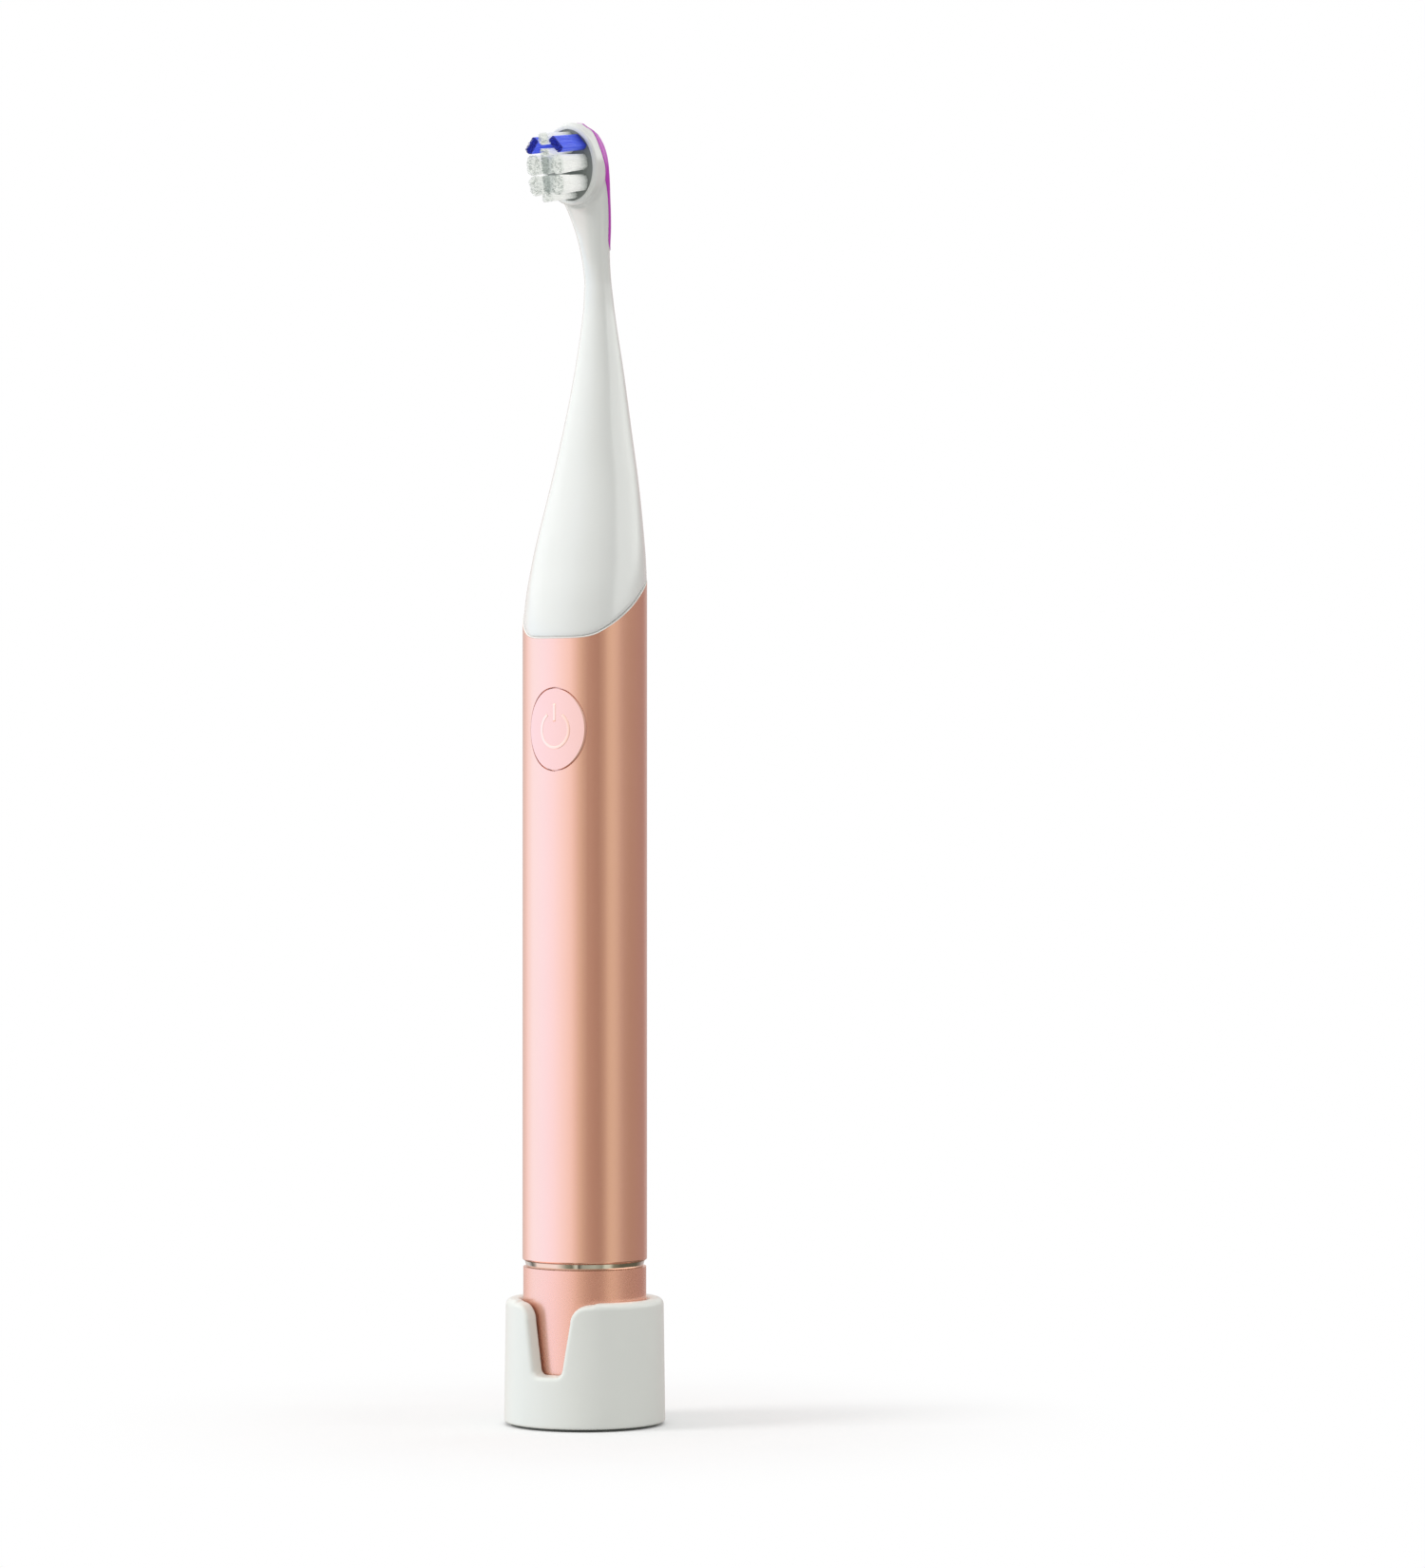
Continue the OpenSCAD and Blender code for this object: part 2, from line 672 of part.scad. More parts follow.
// Controller chips and capacitors of the charger
module base_chips() {
    chip_ring_r = bay_r * 0.57;
    // [angle round the post, width, height]
    squares = [[323, 3.2, 0.9], [214, 2.6, 1.1]];
    rounds = [[172, 1.3, 2.2], [354, 1.1, 2]];
    color(dark_plastic) translate([0, 0, base_board_top]) {
        for (c = squares) rotate([0, 0, c[0]])
            translate([chip_ring_r - c[1] / 2, -c[1] / 2, 0]) cube([c[1], c[1], c[2]]);
        for (c = rounds) rotate([0, 0, c[0]])
            translate([chip_ring_r - c[1], 0, 0]) cylinder(r = c[1], h = c[2], $fn = 32);
    }
}

// Ferrite bobbin inside the post
module primary_core() {
    color(ferrite) rotate_extrude($fn = smooth) polygon([
        [0, base_board_top], [core_flange_r, base_board_top],
        [core_flange_r, base_board_top + core_flange_t], [core_r, base_board_top + core_flange_t],
        [core_r, core_top_z - core_flange_t], [core_flange_r, core_top_z - core_flange_t],
        [core_flange_r, core_top_z], [0, core_top_z]]);
}

// Winding on the ferrite bobbin
module primary_coil() {
    start = base_board_top + core_flange_t + slip;
    color(copper) translate([0, 0, start])
        tube(core_flange_r - 0.15, core_r + slip, core_top_z - core_flange_t - slip - start);
}

// Metal shell of the power inlet in the back of the cup
module inlet_shell() {
    color(steel) difference() {
        translate([0, inlet_mouth_y - inlet_d, inlet_z]) stadium(inlet_w, inlet_h, inlet_d);
        translate([0, inlet_mouth_y - inlet_d + inlet_back_t, inlet_z])
            stadium(inlet_w - inlet_wall * 2, inlet_h - inlet_wall * 2, inlet_d);
    }
}

// Contact tongue inside the inlet
module inlet_tongue() {
    block_d = 1.6;
    tongue_w = inlet_w * 0.75;
    tongue_t = 0.7;
    tongue_d = inlet_d - inlet_back_t - 1;
    y0 = inlet_mouth_y - inlet_d + inlet_back_t;
    color(dark_plastic) union() {
        translate([0, y0, inlet_z])
            stadium(inlet_w - inlet_wall * 2 - slip * 2, inlet_h - inlet_wall * 2 - slip * 2, block_d);
        translate([-tongue_w / 2, y0, inlet_z - tongue_t / 2]) cube([tongue_w, tongue_d, tongue_t]);
    }
}

// ---- Handle ----

// Cap that closes the handle below and fits over the charging post
module base_cap() {
    outline = concat(
        [[0, socket_z]],
        arc(cap_r - 1.2, socket_z + 1.2, 1.2, -90, 0, 6),
        [[cap_r, ring_z], [spigot_r, ring_z],
         [spigot_r, groove_z - oring_r - slip], [groove_r, groove_z - oring_r - slip],
         [groove_r, groove_z + oring_r + slip], [spigot_r, groove_z + oring_r + slip],
         [spigot_r, spigot_z], [spigot_bore_r, spigot_z], [spigot_bore_r, ring_z + 1],
         [cap_bore_r, ring_z - 0.5], [cap_bore_r, socket_z + cap_floor_t],
         [recess_r + recess_wall, socket_z + cap_floor_t],
         [recess_r + recess_wall, recess_top_z + recess_wall], [0, recess_top_z + recess_wall]]);
    color(rose_gold) difference() {
        rotate_extrude($fn = smooth) polygon(outline);
        difference() {
            translate([0, 0, socket_z - nib])
                cylinder(r = recess_r, h = recess_top_z - socket_z + nib, $fn = smooth);
            translate([-recess_r, -recess_r * 2, socket_z - 1])
                cube([recess_r * 2, recess_r * 2 + recess_flat_y, post_h + 3]);
        }
    }
}

// O-ring between the cap's spigot and the tube
module base_seal() {
    color(rubber_grey) translate([0, 0, groove_z]) rotate_extrude($fn = smooth)
        translate([groove_r + oring_r + slip / 2, 0]) circle(r = oring_r, $fn = 24);
}

// Bright ring between the cap and the tube
module trim_ring() {
    bevel = 0.15;
    inner = spigot_r + slip;
    color(steel) rotate_extrude($fn = smooth) polygon([
        [inner, ring_z], [ring_r - ring_slant - bevel, ring_z], [ring_r - ring_slant, ring_z + bevel],
        [ring_r, tube_z - bevel], [ring_r - bevel, tube_z], [inner, tube_z]]);
}

// Metallic tube with its slanted upper end and the button's window
module handle_tube() {
    edge = 0.3;
    color(rose_gold) difference() {
        intersection() {
            rotate_extrude($fn = smooth) polygon(concat(
                [[tube_bore_r, tube_z]],
                arc(handle_r - edge, tube_z + edge, edge, -90, 0, 3),
                [[handle_r, seam_z + handle_r * 2], [tube_bore_r, seam_z + handle_r * 2]]));
            below_seam(-seam_gap / 2);
        }
        translate([0, 0, button_z])
            along_y(-handle_r - 1, -handle_r / 2)
                polygon(oval(button_w / 2 + button_gap, button_h / 2 + button_gap));
    }
}

// Receiving coil round the recess
module secondary_coil() {
    color(copper) translate([0, 0, coil_z]) tube(coil_out_r, coil_in_r, coil_h);
}

// Ferrite washer above the coil
module coil_shield() {
    color(ferrite) translate([0, 0, coil_z + coil_h + slip]) tube(shield_r, coil_in_r, shield_t);
}

// Frame that holds cell, board and motor and slides into the tube
module carrier() {
    open_front = carrier_z + bulkhead_t;
    height = nose_z - carrier_z;
    color(dark_plastic) difference() {
        union() {
            difference() {
                translate([0, 0, carrier_z]) cylinder(r = carrier_r, h = height, $fn = smooth);
                translate([0, 0, open_front]) cylinder(r = carrier_bore_r, h = height, $fn = smooth);
            }
            intersection() {
                translate([0, 0, carrier_z]) cylinder(r = carrier_r, h = height, $fn = smooth);
                union() {
                    translate([0, 0, middle_z]) cylinder(r = carrier_r, h = middle_t, $fn = smooth);
                    translate([0, 0, motor_top]) cylinder(r = carrier_r, h = upper_t, $fn = smooth);
                    for (side = [-1, 1])
                        translate([side * (rail_in_x + carrier_r) - carrier_r, board_back_y, open_front])
                            cube([carrier_r * 2, rail_t, height - bulkhead_t]);
                    for (share = [0.22, 0.67])
                        translate([-carrier_r, 0, motor_z + motor_l * share])
                            cube([carrier_r * 2, carrier_r, strap_h]);
                }
            }
        }
        translate([-handle_r, -handle_r * 2, open_front])
            cube([handle_r * 2, handle_r * 2 + board_back_y, height]);
        translate([0, 0, button_z]) along_y(-handle_r, -handle_r / 2)
            polygon(oval(window_w / 2, window_h / 2));
        translate([0, 0, motor_z]) cylinder(r = motor_r + slip, h = motor_l, $fn = smooth);
        translate([0, 0, motor_top - nib]) cylinder(r = bushing_r, h = upper_t + nib * 2, $fn = smooth);
        translate([0, 0, middle_z + 0.6]) cylinder(r = torsion_r + slip, h = middle_t, $fn = 24);
        translate([0, 0, carrier_z - nib]) cylinder(r = 2.5, h = bulkhead_t + nib * 2, $fn = 32);
        for (x = [-board_screw_x, board_screw_x])
            translate([x, board_back_y - nib, board_screw_z]) rotate([-90, 0, 0])
                cylinder(r = board_screw_r + slip, h = 3, $fn = 24);
    }
}

// Rechargeable cell, with the button of its positive pole
module battery_cell() {
    color([0.15, 0.35, 0.55]) translate([0, cell_y, cell_z]) {
        cylinder(r = cell_r, h = cell_l - 0.8, $fn = smooth);
        cylinder(r = cell_r * 0.4, h = cell_l, $fn = 48);
    }
}

// Welded contact strips at both ends of the cell
module battery_tabs() {
    strip_w = 4;
    color(steel) for (z = [cell_z - tab_t, cell_z + cell_l])
        translate([-strip_w / 2, board_back_y, z]) cube([strip_w, cell_y - board_back_y + 2, tab_t]);
}

// Long circuit board on the carrier's rails, behind the button
module main_board() {
    color(board_green) difference() {
        translate([-board_w / 2, board_front_y, board_z]) cube([board_w, board_t, board_top_z - board_z]);
        for (x = [-board_screw_x, board_screw_x])
            translate([x, board_front_y - nib, board_screw_z]) rotate([-90, 0, 0])
                cylinder(r = board_screw_r + slip * 2, h = board_t + nib * 2, $fn = 24);
    }
}

// Controller, charger chip and driver stages
module board_chips() {
    color(dark_plastic) for (c = chips)
        translate([c[0] * board_w, board_front_y - c[4] / 2, mix(board_z, board_top_z, c[1])])
            cube([c[2], c[4], c[3]], center = true);
}

// Two screws that hold the board to the carrier
module board_screws() {
    color(steel) for (x = [-board_screw_x, board_screw_x])
        translate([x, board_front_y - board_screw_head_h, board_screw_z]) rotate([-90, 0, 0]) {
            cylinder(r = board_screw_head_r, h = board_screw_head_h, $fn = 32);
            cylinder(r = board_screw_r, h = board_screw_head_h + board_t + 2.5, $fn = 24);
        }
}

// Tactile switch on the board
module switch_body() {
    color(dark_plastic) difference() {
        translate([0, switch_front_y + switch_t / 2, button_z])
            cube([switch_w, switch_t, switch_w], center = true);
        translate([0, switch_front_y - nib, button_z]) rotate([-90, 0, 0])
            cylinder(r = plunger_r + 0.1, h = switch_t - 0.2, $fn = 32);
    }
}

// Soft frame that seals the button's window from inside
module button_gasket() {
    color(rubber_grey) intersection() {
        translate([0, 0, button_z - button_h])
            tube(tube_bore_r - slip, tube_bore_r - gasket_t, button_h * 2);
        translate([0, 0, button_z]) along_y(-handle_r, board_back_y - slip) difference() {
            polygon(oval(button_w / 2 + gasket_grow + gasket_band, button_h / 2 + gasket_grow + gasket_band));
            polygon(oval(button_w / 2 + gasket_grow, button_h / 2 + gasket_grow));
        }
    }
}

// Steel can of the oscillating motor, with the seats of both bushings
module motor_can() {
    low = motor_z + bushing_floor_t + bushing_l + slip * 2;
    high = motor_top - bushing_floor_t - bushing_l - slip * 2;
    color(steel) rotate_extrude($fn = smooth) polygon([
        [motor_r, motor_z], [motor_r, motor_top], [shaft_r + 0.2, motor_top],
        [shaft_r + 0.2, motor_top - bushing_floor_t], [bushing_r + slip, motor_top - bushing_floor_t],
        [bushing_r + slip, high], [bushing_holder_r, high], [bushing_holder_r, motor_top - can_end_t],
        [motor_r - can_wall, motor_top - can_end_t], [motor_r - can_wall, motor_z + can_end_t],
        [bushing_holder_r, motor_z + can_end_t], [bushing_holder_r, low], [bushing_r + slip, low],
        [bushing_r + slip, motor_z + bushing_floor_t], [torsion_r + 0.3, motor_z + bushing_floor_t],
        [torsion_r + 0.3, motor_z]]);
}

// Laminated ring inside the can
module stator_core() {
    color(ferrite) translate([0, 0, motor_z + stator_inset])
        tube(motor_r - can_wall - slip, winding_r + slip, motor_l - stator_inset * 2);
}

// Two curved windings round the rotor
module motor_coil() {
    color(copper) difference() {
        translate([0, 0, motor_z + stator_inset + 0.5])
            tube(winding_r, coil_bore_r, motor_l - stator_inset * 2 - 1);
        translate([-0.6, -motor_r, motor_z]) cube([1.2, motor_r * 2, motor_l]);
    }
}

// Sintered bushings at both ends of the motor
module shaft_bushings() {
    color(brass) for (z = [motor_z + bushing_floor_t + slip, motor_top - bushing_floor_t - bushing_l - slip])
        translate([0, 0, z]) tube(bushing_r, shaft_r + shaft_fit, bushing_l);
}

// Steel bar that twists as the shaft swings and brings it back
module torsion_bar() {
    color(steel) translate([0, 0, middle_z + 0.7])
        cylinder(r = torsion_r, h = shaft_foot_z + torsion_socket - 0.3 - middle_z - 0.7, $fn = 24);
}

// Slanted plug that closes the tube round the shaft
module nose_collar() {
    tall = seam_z + handle_r * 2 - nose_z;
    color(dark_plastic) difference() {
        union() {
            difference() {
                intersection() {
                    translate([0, 0, nose_z]) cylinder(r = nose_r, h = tall, $fn = smooth);
                    below_seam(-nose_sink - seam_gap / 2);
                }
                intersection() {
                    translate([0, 0, nose_z - nib]) cylinder(r = nose_r - nose_wall, h = tall, $fn = smooth);
                    below_seam(-nose_sink - seam_gap / 2 - nose_t);
                }
            }
            intersection() {
                translate([0, 0, seal_z - 2]) cylinder(r = nose_boss_r, h = tall, $fn = smooth);
                below_seam(-nose_sink - seam_gap / 2);
            }
        }
        translate([0, 0, nose_z]) cylinder(r = shaft_r + 0.3, h = tall, $fn = 48);
        translate([0, 0, nose_z]) cylinder(r = seal_r + slip, h = seal_top_z - nose_z, $fn = smooth);
    }
}

// Rubber lip seal on the shaft
module shaft_seal() {
    lip_r = shaft_r + slip;
    color(rubber_grey) rotate_extrude($fn = smooth) polygon([
        [lip_r, seal_top_z - 0.6], [lip_r, seal_top_z], [seal_r, seal_top_z], [seal_r, seal_z],
        [lip_r + 0.9, seal_z], [lip_r + 0.9, seal_z + 0.9], [lip_r, seal_z + 1.2],
        [lip_r, seal_z + 1.6], [lip_r + 0.7, seal_z + 2]]);
}

// ---- Drive ----

// Steel shaft, flattened at its tip, with a socket for the torsion bar
module drive_shaft() {
    color(steel) difference() {
        translate([0, 0, shaft_foot_z]) cylinder(r = shaft_r, h = shaft_tip_z - shaft_foot_z, $fn = 48);
        translate([0, 0, shaft_foot_z - nib]) cylinder(r = torsion_r + slip, h = torsion_socket, $fn = 24);
        translate([-shaft_r, shaft_r - shaft_key, shaft_tip_z - key_l])
            cube([shaft_r * 2, shaft_r, key_l + 1]);
    }
}

// Two half-ring magnets on the shaft
module rotor_magnets() {
    color(ferrite) difference() {
        translate([0, 0, motor_z + rotor_inset]) tube(rotor_r, shaft_r + slip, motor_l - rotor_inset * 2);
        translate([-rotor_r, -0.15, motor_z]) cube([rotor_r * 2, 0.3, motor_l]);
    }
}

// ---- Button ----

// Oval button with a hidden flange and a stem for the switch
module power_button() {
    tall = button_h * 2;
    reach = -handle_r / 2;
    color(button_pink) union() {
        difference() {
            union() {
                intersection() {
                    translate([0, button_face_r - handle_r - button_proud, button_z - button_h])
                        cylinder(r = button_face_r, h = tall, $fn = smooth);
                    translate([0, 0, button_z]) along_y(-handle_r * 2, reach)
                        polygon(oval(button_w / 2, button_h / 2));
                }
                intersection() {
                    translate([0, 0, button_z - button_h]) cylinder(r = flange_out_r, h = tall, $fn = smooth);
                    translate([0, 0, button_z]) along_y(-handle_r * 2, reach)
                        polygon(oval(button_w / 2 + flange_grow, button_h / 2 + flange_grow));
                }
            }
            translate([0, 0, button_z - button_h]) cylinder(r = button_back_r, h = tall, $fn = smooth);
        }
        translate([0, -button_back_r - flange_t / 2, button_z]) rotate([-90, 0, 0])
            cylinder(r = stem_r, h = plunger_tip_y + button_back_r + flange_t / 2, $fn = 32);
    }
}

// Plunger of the switch, which the stem pushes
module switch_plunger() {
    color(steel) translate([0, plunger_tip_y, button_z]) rotate([-90, 0, 0])
        cylinder(r = plunger_r, h = plunger_l, $fn = 32);
}

// ---- Brush head ----

// Glossy moulding of the head, hollow at its foot and solid in the neck
module head_shell() {
    color(white_plastic) difference() {
        head_form(0);
        below_seam(seam_gap / 2);
        intersection() {
            neck_form(head_wall, 0, level_below(hub_top_z) + 1);
            translate([-handle_r, -handle_r, head_low_z])
                cube([handle_r * 2, handle_r * 2, hub_top_z - head_low_z]);
        }
        difference() {
            pad_zone();
            head_form(pad_t, level_below(pad_z) - 1);
        }
        on_face(-plate_sink - plate_t)
            linear_extrude(height = plate_t + plate_sink + 1) polygon(oval(plate_half_w, plate_half_h));
    }
}

// Plastic sleeve that grips the shaft, with ribs towards the shell
module head_hub() {
    color(white_plastic) difference() {
        union() {
            translate([0, 0, hub_z]) cylinder(r = hub_r, h = hub_top_z - hub_z, $fn = 64);
            for (turn = [0, 90, 180]) rotate([0, 0, turn])
                translate([0, -hub_rib_t / 2, hub_z]) cube([hub_rib_reach, hub_rib_t, hub_rib_h]);
        }
        difference() {
            translate([0, 0, hub_z - nib])
                cylinder(r = shaft_r + shaft_fit, h = shaft_tip_z + 0.5 - hub_z, $fn = 48);
            translate([-shaft_r * 2, shaft_r - shaft_key + shaft_fit, shaft_tip_z - key_l + 0.5])
                cube([shaft_r * 4, shaft_r, key_l + 2]);
        }
    }
}

// Spring clip round the sleeve, open at the front
module hub_clip() {
    color(steel) difference() {
        translate([0, 0, clip_z]) tube(hub_r + slip + clip_t, hub_r + slip, clip_h);
        translate([-clip_open_w / 2, -hub_r * 2, clip_z - nib])
            cube([clip_open_w, hub_r * 2, clip_h + nib * 2]);
    }
}

// Soft coloured pad moulded onto the back of the head
module back_pad() {
    first = level_below(pad_z) - 1;
    color(pad_magenta) difference() {
        intersection() {
            head_form(0, first);
            pad_zone();
        }
        head_form(pad_t, first);
    }
}

// Oval plate that carries the tufts
module bristle_plate() {
    color(plate_grey) on_face(-plate_sink - plate_t)
        linear_extrude(height = plate_t) polygon(oval(plate_half_w - slip, plate_half_h - slip));
}

// A group of tufts standing on the plate
module tufts(list) {
    on_face(-plate_sink) for (t = list)
        translate([t[0], t[1], 0]) rotate([0, 0, t[4]])
            linear_extrude(height = bristle_l + plate_sink)
                polygon(round_box(t[2], t[3], min(t[2], t[3]) * 0.42, 5));
}

module tufts_blue() {
    color(bristle_blue) tufts(blue_tufts);
}

module tufts_white() {
    color(bristle_white) tufts(white_tufts);
}

module tufts_clear() {
    color(bristle_clear) tufts(clear_tufts);
}

cup_shell();
bottom_cover();
foot_pad();
cover_screws();
base_board();
base_chips();
primary_core();
primary_coil();
inlet_shell();
inlet_tongue();
base_cap();
base_seal();
trim_ring();
handle_tube();
secondary_coil();
coil_shield();
carrier();
battery_cell();
battery_tabs();
main_board();
board_chips();
board_screws();
switch_body();
button_gasket();
motor_can();
stator_core();
motor_coil();
shaft_bushings();
torsion_bar();
nose_collar();
shaft_seal();
drive_shaft();
rotor_magnets();
power_button();
switch_plunger();
head_shell();
head_hub();
hub_clip();
back_pad();
bristle_plate();
tufts_blue();
tufts_white();
tufts_clear();
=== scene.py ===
import math
import random

import bmesh
import bpy
import mathutils
import numpy as np
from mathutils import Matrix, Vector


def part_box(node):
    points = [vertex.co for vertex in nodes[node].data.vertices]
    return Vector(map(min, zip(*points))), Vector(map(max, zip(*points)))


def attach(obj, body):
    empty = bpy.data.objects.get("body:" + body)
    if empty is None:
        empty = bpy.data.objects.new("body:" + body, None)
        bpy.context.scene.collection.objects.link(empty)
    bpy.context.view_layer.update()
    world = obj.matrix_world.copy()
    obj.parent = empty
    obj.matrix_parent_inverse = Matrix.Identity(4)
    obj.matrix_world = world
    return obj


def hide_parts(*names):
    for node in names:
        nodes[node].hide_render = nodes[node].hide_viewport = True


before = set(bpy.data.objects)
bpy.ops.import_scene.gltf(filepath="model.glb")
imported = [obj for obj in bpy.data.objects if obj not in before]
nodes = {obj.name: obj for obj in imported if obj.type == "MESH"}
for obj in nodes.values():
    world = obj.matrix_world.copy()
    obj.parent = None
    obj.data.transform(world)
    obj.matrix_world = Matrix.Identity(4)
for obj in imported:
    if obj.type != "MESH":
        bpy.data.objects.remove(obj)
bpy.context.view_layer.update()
mm = 0.001

# ---- Camera ----
# A long lens almost level with the charger, a metre away and 29 degrees to
# the brush's left, with the brush standing left of the picture's middle.
camera_side = math.radians(29)
camera_reach = 1.0
camera_height = 0.1158
camera_rise, camera_pan = math.radians(90.42), math.radians(1.41)
camera_data = bpy.data.cameras.new("camera")
camera_data.lens = 119.1
camera_data.sensor_width = 36
camera_data.clip_start = 0.01
camera = bpy.data.objects.new("camera", camera_data)
camera.location = (
    math.sin(camera_side) * camera_reach,
    -math.cos(camera_side) * camera_reach,
    camera_height,
)
camera.rotation_euler = (camera_rise, 0, camera_side - camera_pan)
bpy.context.scene.collection.objects.link(camera)
bpy.context.scene.camera = camera
bpy.context.scene.view_settings.view_transform = "Standard"


# ---- Table top ----
# A smooth white board that the charger stands on. It catches the soft shadow
# close to the foot and runs out into the pale background further away.
class Value:
    """One output of a shader's node. Arithmetic on it adds Math nodes."""

    def __init__(self, shader, socket):
        self.shader, self.socket = shader, socket

    def maths(self, operation, *others):
        """A Math node on this value and the others."""
        return self.shader.node(
            "ShaderNodeMath", {"operation": operation}, dict(enumerate((self, *others)))
        )

    def __add__(self, other):
        return self.maths("ADD", other)

    def __sub__(self, other):
        return self.maths("SUBTRACT", other)

    def __rsub__(self, other):
        return self.maths("MULTIPLY_ADD", -1, other)

    def __mul__(self, other):
        return self.maths("MULTIPLY", other)

    def __truediv__(self, other):
        return self.maths("DIVIDE", other)

    __radd__, __rmul__ = __add__, __mul__


class Shader:
    """The node tree of one material, or of the world."""

    def __init__(self, owner):
        owner.use_nodes = True
        self.is_world = isinstance(owner, bpy.types.World)
        self.tree = owner.node_tree
        self.tree.nodes.clear()

    def node(self, kind, settings=None, inputs=None, output=0):
        made = self.tree.nodes.new(kind)
        for name, setting in (settings or {}).items():
            if name == "stops":
                ramp = made.color_ramp
                while len(ramp.elements) < len(setting):
                    ramp.elements.new(1)
                for element, (place, colour) in zip(ramp.elements, setting):
                    element.position, element.color = place, (*colour, 1)
            else:
                setattr(made, name, setting)
        for key, value in (inputs or {}).items():
            if isinstance(value, Value):
                self.tree.links.new(value.socket, made.inputs[key])
            else:
                made.inputs[key].default_value = value
        return Value(self, made.outputs[output])

    def end(self, surface):
        """Joins the surface to the tree's output."""
        last = self.tree.nodes.new(
            "ShaderNodeOutputWorld" if self.is_world else "ShaderNodeOutputMaterial"
        )
        self.tree.links.new(surface.socket, last.inputs[0])

    def surface(self, tone, rough, metallic=0.0, height=None, relief=0.0, **sockets):
        """Ends the tree in a surface. Height, from 0 to 1, stands relief metres high."""
        links = {"Base Color": tone, "Roughness": rough, "Metallic": metallic}
        if height is not None:
            links["Normal"] = self.node(
                "ShaderNodeBump", inputs={"Height": height, "Distance": relief}
            )
        for name, value in sockets.items():
            links[name.replace("_", " ")] = value
        self.end(self.node("ShaderNodeBsdfPrincipled", inputs=links))

    def place(self):
        """The point's place on the object, in metres, as a vector."""
        return self.node("ShaderNodeTexCoord", output="Object")

    def axes(self):
        """The three parts of the point's place."""
        split = self.node("ShaderNodeSeparateXYZ", inputs={0: self.place()})
        return [Value(self, s) for s in split.socket.node.outputs]

    def blend(self, share, low, high):
        """A colour between two, by share."""
        return self.node(
            "ShaderNodeMix",
            {"data_type": "RGBA"},
            {0: share, 6: low, 7: high},
            output=2,
        )

    def step(self, value, low, high, bottom=0.0, top=1.0):
        """A smooth step from bottom to top as value goes from low to high."""
        return self.node(
            "ShaderNodeMapRange",
            {"interpolation_type": "SMOOTHSTEP"},
            {0: value, 1: low, 2: high, 3: bottom, 4: top},
        )

    def noise(self, size, detail=2.0, stretch=None):
        """Soft random patches of about that size in metres, from 0 to 1."""
        place = self.place()
        if stretch:
            place = self.node(
                "ShaderNodeVectorMath", {"operation": "MULTIPLY"}, {0: place, 1: stretch}
            )
        return self.node(
            "ShaderNodeTexNoise",
            inputs={"Vector": place, "Scale": 1 / size, "Detail": detail},
        )


def linear(code):
    """A colour written as RRGGBB, as the shader wants it."""
    parts = [int(code[i : i + 2], 16) / 255 for i in (0, 2, 4)]
    light = [p / 12.92 if p <= 0.04045 else ((p + 0.055) / 1.055) ** 2.4 for p in parts]
    return (*light, 1)


table_size = 6.0
table_glow = 0.07
shadow_reach = (0.025, 0.11)            # where the shadow's part of the table fades out
bpy.ops.mesh.primitive_grid_add(x_subdivisions=8, y_subdivisions=8, size=table_size)
table = bpy.context.object
table.name = "table"
table.visible_glossy = False
table_white = bpy.data.materials.new("table_white")
shader = Shader(table_white)
x, y, z = shader.axes()
away = shader.step((x * x + y * y).maths("SQRT"), *shadow_reach)
tone = shader.blend(shader.noise(0.03), linear("F4F4F4"), linear("F8F8F8"))
lit = shader.node("ShaderNodeBsdfDiffuse", inputs={"Color": tone}, output="BSDF")
glow = shader.node("ShaderNodeEmission", inputs={"Strength": table_glow})
near = shader.node("ShaderNodeAddShader", inputs={0: lit, 1: glow})
far = shader.node("ShaderNodeEmission", inputs={"Strength": 1.0})
seen = shader.node("ShaderNodeMixShader", inputs={0: away, 1: near, 2: far})
camera_ray = shader.node("ShaderNodeLightPath", output="Is Camera Ray")
bounce = shader.node("ShaderNodeBsdfDiffuse", inputs={"Color": linear("CFCFCF")}, output="BSDF")
shader.end(shader.node("ShaderNodeMixShader", inputs={0: camera_ray, 1: bounce, 2: seen}))
table.data.materials.append(table_white)


# ---- Light ----
# A plain studio: a big soft lamp to the front left, a weak one to the right,
# and a pale room whose tones, all round, are what metal and gloss mirror.
def lamp(name, side, reach, height, size, power):
    data = bpy.data.lights.new(name, "AREA")
    data.shape, data.size, data.energy = "DISK", size, power
    made = bpy.data.objects.new(name, data)
    angle = math.radians(side)
    made.location = (math.sin(angle) * reach, -math.cos(angle) * reach, height)
    aim = mathutils.Vector((0, 0, 0.1)) - made.location
    made.rotation_euler = aim.to_track_quat("-Z", "Y").to_euler()
    made.visible_glossy = False
    bpy.context.scene.collection.objects.link(made)


lamp("key_lamp", -44, 1.5, 0.8, 0.7, 10.0)
lamp("fill_lamp", 100, 1.6, 0.7, 1.0, 1.6)

room = bpy.data.worlds.new("room")
bpy.context.scene.world = room
room.cycles.sampling_method = "NONE"
shader = Shader(room)
way = shader.node("ShaderNodeTexCoord", output="Generated")
split = shader.node("ShaderNodeSeparateXYZ", inputs={0: way})
x, y, z = (Value(shader, s) for s in split.socket.node.outputs)
turn = x.maths("ARCTAN2", 0 - y) / math.tau + 0.5
